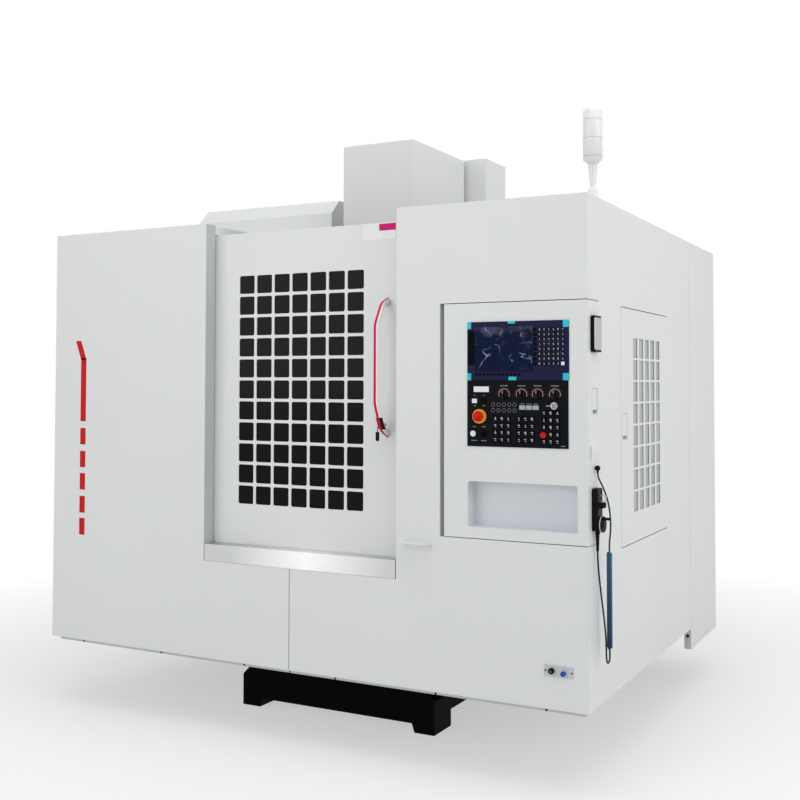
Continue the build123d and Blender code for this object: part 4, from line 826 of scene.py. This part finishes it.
panel_face = back(-0.003)
cap_y = panel_face - 0.0008
collar_radius = 0.0275
screen_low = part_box("display_unit")[0]
panel_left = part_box("operator_panel")[0].x
panel_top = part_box("operator_panel")[1].z
stop_x, _, stop_z = middle("stop_button")
display = dressed("display_unit", "screen_bezel", paint["navy"], 0.0006)
repaint(display, paint["keycap"], lambda c: c.y < panel_face - 0.0004)
panel = dressed("operator_panel", "key_panel", paint["panel"], 0.0007)
repaint(panel, paint["keycap"], lambda c: c.y < cap_y)
repaint(
    panel,
    paint["yellow"],
    lambda c: c.y < cap_y and math.hypot(c.x - stop_x, c.z - stop_z) < collar_radius,
)


def on_panel(right, down):
    """X and Z of a place on the key panel, from its upper left corner."""
    return panel_left + right, panel_top - down


def on_console(piece, material, slot="panel_film"):
    finish(piece, "control_console", slot, paint[material])


def fixed_label(name, x, z, width, height, material, face=panel_face, thickness=0.0004):
    """A thin printed or glued plate on a face of the control box that looks to the front."""
    label = plate(name, x, z, width / 2, height / 2, face, thickness, thickness * 0.3)
    on_console(label, material)


key_face = panel_face - 0.0025
fixed_label("blank_plate", *on_panel(0.058, 0.033), 0.062, 0.021, "white", thickness=0.0010)
for name, right, material in (
    ("white_square_cap", 0.031, "white"),
    ("black_square_cap", 0.068, "keycap"),
):
    fixed_label(name, *on_panel(right, 0.077), 0.0205, 0.0165, material, face=key_face)


def dial_marks(name, x, z, radius, count, sweep, material, long, wide):
    """A fan of short printed strokes round a knob."""
    middle_z = z + radius + long / 2
    strokes = [plate("stroke", x, middle_z, wide / 2, long / 2, panel_face, 0.0003, 0.0001)]
    for n in range(1, count):
        stroke = copied(strokes[0], "stroke", (0, 0, 0))
        strokes.append(spun(stroke, (x, panel_face, z), REARWARD, sweep * n / (count - 1)))
    for stroke in strokes:
        spun(stroke, (x, panel_face, z), REARWARD, -sweep / 2)
    on_console(joined(strokes, name), material)


for n in range(1, 5):
    x, _, z = middle(f"selector_knob_{n}")
    dressed(f"selector_knob_{n}", f"selector_{n}_knob", paint["dark"], 0.0010)
    knob_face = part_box(f"selector_knob_{n}")[0].y
    low = (x - 0.0009, knob_face - 0.0002, z + 0.004)
    high = (x + 0.0009, knob_face + 0.004, z + 0.0155)
    pointer = block(f"selector_{n}_pointer", low, high, 0.0003, 1)
    finish(pointer, f"selector_{n}", "black_plastic", paint["legend"])
    for colour, radius, count, sweep, material, long, wide in (
        ("white", 0.0195, 19, 216, "legend", 0.0022, 0.0028),
        ("red", 0.0232, 9, 176, "red", 0.0042, 0.0020),
    ):
        dial_marks(f"dial_{n}_{colour}", x, z, radius, count, sweep, material, long, wide)
    fixed_label(f"dial_{n}_caption", x, z + 0.0325, 0.032, 0.0028, "faint")

# Ring lamps, digit windows and the captions between them.
lamp_pitch_x, lamp_pitch_z = 0.0216, 0.0215
x, z = on_panel(0.106, 0.090)
first_rim = ring("lamp_rim", (x, panel_face - 0.0002, z), REARWARD, 0.0070, 0.0014, 24)
first_eye = turned("lamp_eye", (x, panel_face, z), FRONTWARD, [(0.0058, 0), (0.0050, 0.0009)], 20)
for row in range(2):
    for column in range(5):
        offset = (column * lamp_pitch_x, 0, -row * lamp_pitch_z)
        rim = copied(first_rim, f"lamp_rim_{row}_{column}", offset)
        eye = copied(first_eye, f"lamp_eye_{row}_{column}", offset)
        on_console(rim, "faint")
        on_console(eye, "dark")
for piece in (first_rim, first_eye):
    bpy.data.objects.remove(piece)

# Strokes of a digit: across, up, and whether the stroke lies.
LYING = [(0, 1, True), (0, 0, True), (0, -1, True)]
STANDING = [(-1, 0.5, False), (1, 0.5, False), (-1, -0.5, False), (1, -0.5, False)]
half_stroke = 0.0009
window_depth = 0.0011


def digit(x, z, width, height):
    """The seven strokes of one digit, as thin plates."""
    strokes = []
    for across, up, lying in LYING + STANDING:
        half_w = width * 0.36 if lying else half_stroke
        half_h = half_stroke if lying else height * 0.2
        cx = x + across * width * 0.42
        cz = z + up * height * 0.46
        face = panel_face - window_depth
        strokes.append(plate("stroke", cx, cz, half_w, half_h, face, 0.0004, 0.0001))
    return joined(strokes, "digit")


digit_x, digit_z = on_panel(0.223, 0.100)
window_pitch = 0.0265
digit_pitch = 0.0112
eight = digit(digit_x - digit_pitch / 2, digit_z, 0.0085, 0.0125)
for group in range(3):
    x = digit_x + group * window_pitch
    name = f"digit_window_{group}"
    fixed_label(name, x, digit_z, 0.0245, 0.0170, "faint", thickness=window_depth)
    for place in range(2):
        offset = (group * window_pitch + place * digit_pitch, 0, 0)
        on_console(copied(eight, f"digit_{group}_{place}", offset), "legend")
    fixed_label(f"digit_caption_{group}", x, digit_z + 0.0135, 0.018, 0.0022, "faint")
bpy.data.objects.remove(eight)


# Key marks: each key carries a few small strokes, never words.
def key_mark(x, z, size, face):
    """One key's strokes; their kind is drawn by chance."""
    strokes = []
    kind = chance.randrange(4)
    wide = size * 0.17
    thin = size * 0.055
    if kind in (0, 1):
        strokes.append((x - size * 0.14, z + size * 0.12, wide * 0.8, thin))
        strokes.append((x + size * 0.10, z + size * 0.12, thin, wide * 0.8))
    if kind in (1, 2):
        strokes.append((x, z - size * 0.02, wide * 1.2, thin))
        strokes.append((x + size * 0.02, z + size * 0.14, thin, wide))
    if kind == 3:
        strokes.append((x, z + size * 0.1, wide * 0.6, wide * 0.6))
    strokes.append((x + size * 0.04, z - size * 0.26, wide * 1.1, thin * 0.7))
    return [plate("mark", *stroke, face, 0.00025, 0.00008) for stroke in strokes]


key_pitch = 0.026
key_size = 0.019
red_right, red_down = 0.307, 0.197  # the red button, which takes one key's place
for number, (right, down, rows) in enumerate(
    ((0.142, 0.181, 4), (0.236, 0.181, 4), (0.334, 0.171, 5)), start=1
):
    marks = []
    for row in range(rows):
        for column in range(3):
            x, z = on_panel(
                right + (column - 1) * key_pitch, down + (row - (rows - 1) / 2) * key_pitch
            )
            if abs(x - panel_left - red_right) < 0.004 and abs(panel_top - z - red_down) < 0.004:
                continue
            marks += key_mark(x, z, key_size, key_face)
    on_console(joined(marks, f"key_marks_{number}"), "legend")

for name, right, down, width in (
    ("caption_left_a", 0.031, 0.056, 0.005),
    ("caption_left_b", 0.068, 0.056, 0.005),
    ("caption_left_c", 0.031, 0.095, 0.010),
    ("caption_left_d", 0.068, 0.095, 0.010),
    ("caption_start", 0.029, 0.174, 0.012),
    ("caption_hold", 0.068, 0.174, 0.014),
    ("caption_start_low", 0.029, 0.226, 0.024),
    ("caption_hold_low", 0.068, 0.226, 0.022),
    ("caption_corner", 0.381, 0.239, 0.016),
):
    fixed_label(name, *on_panel(right, down), width, 0.0026, "faint")

# Stop button, push-buttons and key lock.
dressed("stop_button", "stop_mushroom", paint["red"], 0.0012, 3)
for name, material in (("start", "white"), ("hold", "keycap"), ("red", "red")):
    dressed(f"{name}_button", f"{name}_cap", paint[material], 0.0006, 3)
dressed("key_switch", "key_and_barrel", paint["ground"], 0.0006)
for name in ("start", "hold", "red"):
    x, _, z = middle(f"{name}_button")
    collar = ring(f"{name}_collar", (x, panel_face, z), REARWARD, 0.0128, 0.0026)
    on_console(collar, "dark", "black_plastic")
lock_x, _, lock_z = middle("key_switch")
lock_rim = ring("lock_rim", (lock_x, panel_face, lock_z), REARWARD, 0.0118, 0.0030)
on_console(lock_rim, "white", "white_plastic")
fixed_label("lock_caption", lock_x - 0.022, lock_z, 0.016, 0.0050, "faint")

# Screen: sunk glass under a film with tabs, the card hatch and the marks on the film keys.
screen_x0, screen_x1 = 0.862, 1.036
screen_z0, screen_z1 = 1.550, 1.690
glass_gap = 0.0003
glass = block(
    "screen_glass",
    (screen_x0 + glass_gap, panel_face + 0.0012, screen_z0 + glass_gap),
    (screen_x1 - glass_gap, back(0.001), screen_z1 - glass_gap),
    0.0006,
)
on_console(glass, "screen")
film_low, film_high = (0.858, panel_face - 0.0014, 1.530), (1.0905, panel_face, 1.698)
on_console(pillow("screen_cover_film", film_low, film_high, 0.004, 1), "screen")
hatch_left, hatch_right = screen_low.x + 0.003, screen_low.x + 0.030
hatch = pillow(
    "card_hatch",
    (hatch_left, panel_face - 0.0016, 1.556),
    (hatch_right, panel_face, 1.686),
    0.002,
    1,
)
on_console(hatch, "keycap", "black_plastic")
hatch_seam = block(
    "card_hatch_seam",
    (hatch_left, panel_face - 0.0019, 1.5900),
    (hatch_right, panel_face - 0.0014, 1.5908),
    0.0001,
    1,
)
on_console(hatch_seam, "navy", "black_plastic")
for name, x, z, width, height in (
    ("film_tab_a", 0.834, 1.705, 0.016, 0.026),
    ("film_tab_b", 0.834, 1.511, 0.016, 0.026),
    ("film_tab_c", 1.2185, 1.705, 0.023, 0.026),
    ("film_tab_d", 1.2185, 1.511, 0.023, 0.026),
    ("film_tab_e", 1.006, 1.7135, 0.029, 0.009),
    ("film_tab_f", 1.010, 1.5045, 0.031, 0.013),
):
    fixed_label(name, x, z, width, height, "cyan", thickness=0.0003)
screen_keys_x, screen_keys_z = 1.144, 1.622
screen_key_pitch = 0.018
screen_key_size = 0.013
marks = []
for row in range(8):
    for column in range(2, 8):  # the first two columns carry no marks
        x = screen_keys_x + (column - 3.5) * screen_key_pitch
        z = screen_keys_z + (row - 3.5) * screen_key_pitch
        marks += key_mark(x, z, screen_key_size, cap_y)
on_console(joined(marks, "screen_key_marks"), "legend")
fixed_label("screen_white_key", 1.207, 1.559, 0.0125, 0.0125, "white", face=cap_y)

# Card with a coloured band, at the top of the door.
card_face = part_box("door_panel")[0].y
card = pillow("door_card", (0.327, card_face - 0.0009, 2.067), (0.480, card_face, 2.134), 0.003, 1)
finish(card, "sliding_door", "paint_light", paint["white"])
band = block(
    "door_card_band",
    (0.402, card_face - 0.0012, 2.104),
    (0.479, card_face - 0.0008, 2.132),
    0.0002,
)
finish(band, "sliding_door", "paint_light", paint["magenta"])

# Door handle and the key tied to its lower end.
handle_x, _, handle_z = middle("door_handle")
handle_finish = handle_paint(
    white=(0.80, 0.80, 0.79),
    red=(0.62, 0.004, 0.010),
    pink=(0.62, 0.004, 0.11),
    black=(0.004, 0.004, 0.005),
    middle_z=handle_z,
)
handle = dressed("door_handle", "bow_handle", handle_finish, 0.0)
tie_z = 1.3170
section = [corner.co.y for corner in handle.data.vertices if abs(corner.co.z - tie_z) < 0.010]
tie_y = (min(section) + max(section)) / 2
tie = ring("key_tie", (handle_x, tie_y, tie_z), (0.0, -0.5, 0.866), 0.0150, 0.0040)
fob_y = tie_y - 0.016
fob_low, fob_high = (0.424, fob_y - 0.004, 1.257), (0.438, fob_y + 0.004, 1.293)
fob = pillow("key_fob", fob_low, fob_high, 0.004, 1, 0.0012)
link_low, link_high = (0.4295, fob_y - 0.0015, 1.288), (0.4325, fob_y + 0.0015, 1.312)
fob_link = block("key_link", link_low, link_high, 0.0008)
for piece in (tie, fob, fob_link):
    finish(piece, "sliding_door", "black_plastic", paint["dark"])

# Red livery on the left front sheet: a slanted top, a bar and five dashes.
bar_left, bar_right = -1.140, -1.107


def livery(name, low_z, high_z):
    low, high = (bar_left, back(-0.0003), low_z), (bar_right, front_y, high_z)
    return finish(block(name, low, high, 0.0001, 1), "machine_base", "red_plastic", paint["livery"])


livery("livery_bar", 1.308, 1.600)
leaning(livery("livery_slant", 1.592, 1.680), 1.65, (bar_left - bar_right, 0, 0))
for n, (low, high) in enumerate(
    ((1.201, 1.277), (1.096, 1.171), (0.993, 1.069), (0.887, 0.964), (0.786, 0.863)), start=1
):
    livery(f"livery_dash_{n}", low, high)


# Screws: a domed head with a socket, made once for each direction and size.
def screw(name, axis, radius):
    """A screw at the origin, that the rows below copy."""
    stations = [
        (radius, 0),
        (radius, radius * 0.28),
        (radius * 0.86, radius * 0.5),
        (radius * 0.5, radius * 0.62),
        (radius * 0.42, radius * 0.36),
    ]
    return turned(name, (0, 0, 0), axis, stations, 18)


plate_low, plate_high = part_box("air_plate")
lip_xs = (-1.110, -0.657, -0.209, 0.238, 0.688, 1.136)
plate_xs = (plate_low.x + 0.007, plate_high.x - 0.007)
corner_xs, rear_xs = (-1.284, 1.284), (-1.285, 1.285)
rear_zs = (0.32, 0.95, 1.55, 2.10)
for name, axis, radius, y, xs, zs in (
    ("lip_screw", FRONTWARD, 0.0042, back(0.010), lip_xs, (0.2995,)),
    ("air_plate_screw", FRONTWARD, 0.0034, back(-0.002), plate_xs, (0.446,)),
    ("corner_screw", FRONTWARD, 0.0075, rear_y - 0.561, corner_xs, (0.271,)),
    ("rear_screw", REARWARD, 0.005, rear_y, rear_xs, rear_zs),
):
    first = screw(name, axis, radius)
    for n, place in enumerate((x, y, z) for x in xs for z in zs):
        finish(copied(first, f"{name}_{n}", place), "machine_base", "ground_steel", paint["dark"])
    bpy.data.objects.remove(first)

# Air plate, inlet and valve knob.
air_plate = dressed("air_plate", "air_fitting_plate", paint["fitting"], 0.0008)
inlet_x = right_x - 0.139
inlet_reach = 0.0120
repaint(
    air_plate,
    paint["dark"],
    lambda c: c.y < back(-0.0030) and abs(c.x - inlet_x) < inlet_reach,
)
inlet_rim = ring("inlet_rim", (inlet_x, back(-0.0025), 0.447), REARWARD, 0.0108, 0.0018, 28)
finish(inlet_rim, "machine_base", "ground_steel", paint["ground"])
dressed("air_knob", "air_valve_knob", paint["blue"], 0.0014, 3)

# Stack light: milky cover with seams.
dressed("stack_light", "stack_light_body", paint["lamp"], 0.0)
light_x, light_y, _ = middle("stack_light")
seam_radius = 0.0362
for name, z in (("lamp_seam_low", 2.345), ("lamp_seam_mid", 2.415), ("lamp_seam_high", 2.485)):
    seam = ring(name, (light_x, light_y, z), UPWARD, seam_radius, 0.0014, 48)
    finish(seam, "machine_base", "white_plastic", paint["faint"])

# Fittings on the right side of the control box.
dressed("port_lid", "port_flap_plate", paint["lid"], 0.0012, 3)
hinge_x = port_low.x + 0.001
for name, y in (("port_hinge_front", port_low.y + 0.010), ("port_hinge_rear", port_high.y - 0.010)):
    knuckle = turned(
        name,
        (hinge_x, y - 0.007, port_low.z - 0.003),
        REARWARD,
        [(0.0030, 0), (0.0034, 0.001), (0.0034, 0.013), (0.0030, 0.014)],
        18,
    )
    on_console(knuckle, "dark", "black_plastic")
for name, z in (
    ("port_bracket_low", port_low.z - 0.008),
    ("port_bracket_high", port_high.z - 0.001),
):
    low = (right_x + 0.001, port_low.y + 0.003, z)
    high = (port_low.x + 0.003, port_high.y - 0.003, z + 0.009)
    on_console(block(name, low, high, 0.0010), "dark", "black_plastic")
guard_x = pulse_high.x - 0.0170
for name, low, high in (
    ("guard_low_bar", (guard_x, 1.0575), (guard_x + 0.0205, 1.0603)),
    ("guard_high_bar", (guard_x, 1.0790), (guard_x + 0.0205, 1.0818)),
    ("guard_face_bar", (guard_x + 0.0175, 1.0577), (guard_x + 0.0203, 1.0816)),
):
    corner_low = (low[0], pulse_y - 0.009, low[1])
    corner_high = (high[0], pulse_y + 0.009, high[1])
    on_console(block(name, corner_low, corner_high, 0.0006), "lid", "ground_steel")
dressed("box_latch", "console_latch_lever", paint["coat"], 0.0012, 3)
dressed("side_door_latch", "service_latch_lever_plate", paint["coat"], 0.0012, 3)
# Rims of painted shade round the two latch recesses, in the same paint as the shaded returns.
for name, body, cup_rear, cup_low, cup_high in (
    ("box_latch_rim", "control_console", back(0.105), 1.368, 1.477),
    ("side_latch_rim", "service_door", back(0.490), 1.258, 1.375),
):
    low = (right_x + 0.0004, cup_rear - 0.0042, cup_low + 0.002)
    high = (right_x + 0.0024, cup_rear + 0.0008, cup_high - 0.002)
    finish(pillow(name, low, high, 0.0008, 0, 0.0003), body, "paint_light", paint["painted_edge_shade"])
dressed("pulse_unit", "pulse_housing", paint["dark"], 0.0008)
dressed("pulse_wheel", "pulse_hand_wheel", paint["dark"], 0.0012, 3)
_, wheel_y, wheel_z = middle("pulse_wheel")
dial = turned(
    "pulse_dial",
    (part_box("pulse_wheel")[0].x + 0.0105, wheel_y, wheel_z),
    RIGHTWARD,
    [(0.0292, 0.004), (0.0298, 0.0045), (0.0298, 0.0065), (0.0292, 0.007)],
    60,
)
finish(dial, "hand_wheel", "black_plastic", paint["legend"])
top_ridge_z, ridge_pitch = 0.9405, 0.0105
for n in range(6):
    z = top_ridge_z - ridge_pitch * n
    radius = 0.0070 - 0.0005 * n
    ridge = ring(f"relief_ridge_{n}", (pulse_x, pulse_y, z), UPWARD, radius, 0.0032, 28)
    on_console(ridge, "dark", "black_plastic")

# Rear door: hinges, two locks and the main switch.
switch_x, _, switch_z = middle("main_switch")
dressed("main_switch", "main_switch_handle", paint["red"], 0.0016, 3)
half_plate = 0.040
switch_plate = pillow(
    "main_switch_plate",
    (switch_x - half_plate, rear_y, switch_z - half_plate),
    (switch_x + half_plate, rear_y + 0.0002, switch_z + half_plate),
    0.006,
    1,
    0.00005,
)
finish(switch_plate, "rear_door", "black_plastic", paint["yellow"])
for n, z in enumerate((0.80, 1.84)):
    lock = turned(
        f"rear_lock_{n}",
        (-0.405, rear_y, z),
        REARWARD,
        [(0.013, 0), (0.013, 0.004), (0.011, 0.006), (0.004, 0.0062)],
        28,
    )
    finish(lock, "rear_door", "ground_steel", paint["ground"])
hinge_length = 0.070
barrel_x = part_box("cabinet_door")[1].x + 0.0072
for n, z in enumerate((0.72, 1.32, 1.92)):
    barrel = turned(
        f"rear_hinge_{n}",
        (barrel_x, rear_y, z - hinge_length / 2),
        UPWARD,
        [(0.0045, 0), (0.0052, 0.001), (0.0052, hinge_length - 0.001), (0.0045, hinge_length)],
        20,
    )
    finish(barrel, "machine_base", "ground_steel", paint["ground"])

# Two jambs close the gap between the cabinet and the rear sheets.
cabinet_low, cabinet_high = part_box("electrical_cabinet")
jamb_thickness = 0.0020
for name, x in (
    ("cabinet_jamb_left", cabinet_low.x - jamb_thickness),
    ("cabinet_jamb_right", cabinet_high.x),
):
    low = (x, cabinet_high.y - 0.0230, cabinet_low.z + 0.0200)
    high = (x + jamb_thickness, cabinet_high.y, cabinet_high.z)
    finish(block(name, low, high, 0.0003, 1), "machine_base", "paint_light", paint["grey"])

# Floor: it keeps the shadow near the object and fades to white farther out.
unselect()
bpy.ops.mesh.primitive_plane_add(size=60, location=(0, 0, 0))
floor = bpy.context.object
floor.name = "studio_floor"
floor_finish = Finish("studio_floor", Base_Color=(0.86, 0.86, 0.86), Roughness=0.9)
x, y = floor_finish.axes()[:2]
shadow_reach, fade = 1.6, 2.4
distance = (x * x + y * y).math("SQRT")
far = ((distance - shadow_reach) / fade).clamped()
path = floor_finish.nodes.new("ShaderNodeLightPath")
straight = Signal(floor_finish, path.outputs["Is Camera Ray"])
mirrored = Signal(floor_finish, path.outputs["Is Glossy Ray"])
through = Signal(floor_finish, path.outputs["Is Transmission Ray"])
whiten = (straight + mirrored + through) * (far * 0.5 + 0.5)
white_card = floor_finish.node("ShaderNodeEmission", sockets={"Color": (1, 1, 1), "Strength": 1.0})
shown = floor_finish.nodes.new("ShaderNodeMixShader")
floor_finish.feed(shown.inputs["Fac"], whiten)
floor_finish.links.new(floor_finish.shader.outputs["BSDF"], shown.inputs[1])
floor_finish.links.new(white_card.socket, shown.inputs[2])
floor_finish.links.new(
    shown.outputs["Shader"], floor_finish.nodes["Material Output"].inputs["Surface"]
)
floor.data.materials.append(floor_finish.material)
floor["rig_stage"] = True

# World: pale light, and plain white for the camera and in reflections.
world = bpy.data.worlds.new("studio_world")
bpy.context.scene.world = world
world.use_nodes = True
world_nodes = world.node_tree.nodes
world_links = world.node_tree.links
sky = world_nodes["Background"]
sky.inputs["Color"].default_value = (0.96, 0.98, 1.0, 1.0)
sky.inputs["Strength"].default_value = 0.42
seen = world_nodes.new("ShaderNodeBackground")
seen.inputs["Color"].default_value = (1.0, 1.0, 1.0, 1.0)
seen.inputs["Strength"].default_value = 1.0
rays = world_nodes.new("ShaderNodeLightPath")
mixed = world_nodes.new("ShaderNodeMixShader")
output = world_nodes["World Output"]
any_view = world_nodes.new("ShaderNodeMath")
any_view.operation = "ADD"
any_view.use_clamp = True
for start, end in (
    (rays.outputs["Is Camera Ray"], any_view.inputs[0]),
    (rays.outputs["Is Glossy Ray"], any_view.inputs[1]),
    (any_view.outputs[0], mixed.inputs["Fac"]),
    (sky.outputs["Background"], mixed.inputs[1]),
    (seen.outputs["Background"], mixed.inputs[2]),
    (mixed.outputs["Shader"], output.inputs["Surface"]),
):
    world_links.new(start, end)


def softbox(name, place, target, size, power):
    """A large area lamp that looks at a point."""
    data = bpy.data.lights.new(name, "AREA")
    data.shape = "RECTANGLE"
    data.size = size[0]
    data.size_y = size[1]
    data.energy = power
    lamp = bpy.data.objects.new(name, data)
    lamp.location = place
    lamp.rotation_euler = (Vector(target) - Vector(place)).to_track_quat("-Z", "Y").to_euler()
    bpy.context.scene.collection.objects.link(lamp)


softbox("top_light", (1.5, -1.5, 6.0), (0, 0, 1.0), (6.0, 6.0), 160)
softbox("front_light", (-2.5, -7.0, 3.0), (0, -1.0, 1.2), (5.0, 3.5), 110)
softbox("right_light", (7.0, -1.5, 3.5), (1.3, 0, 1.3), (4.0, 3.5), 110)

low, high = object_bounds()
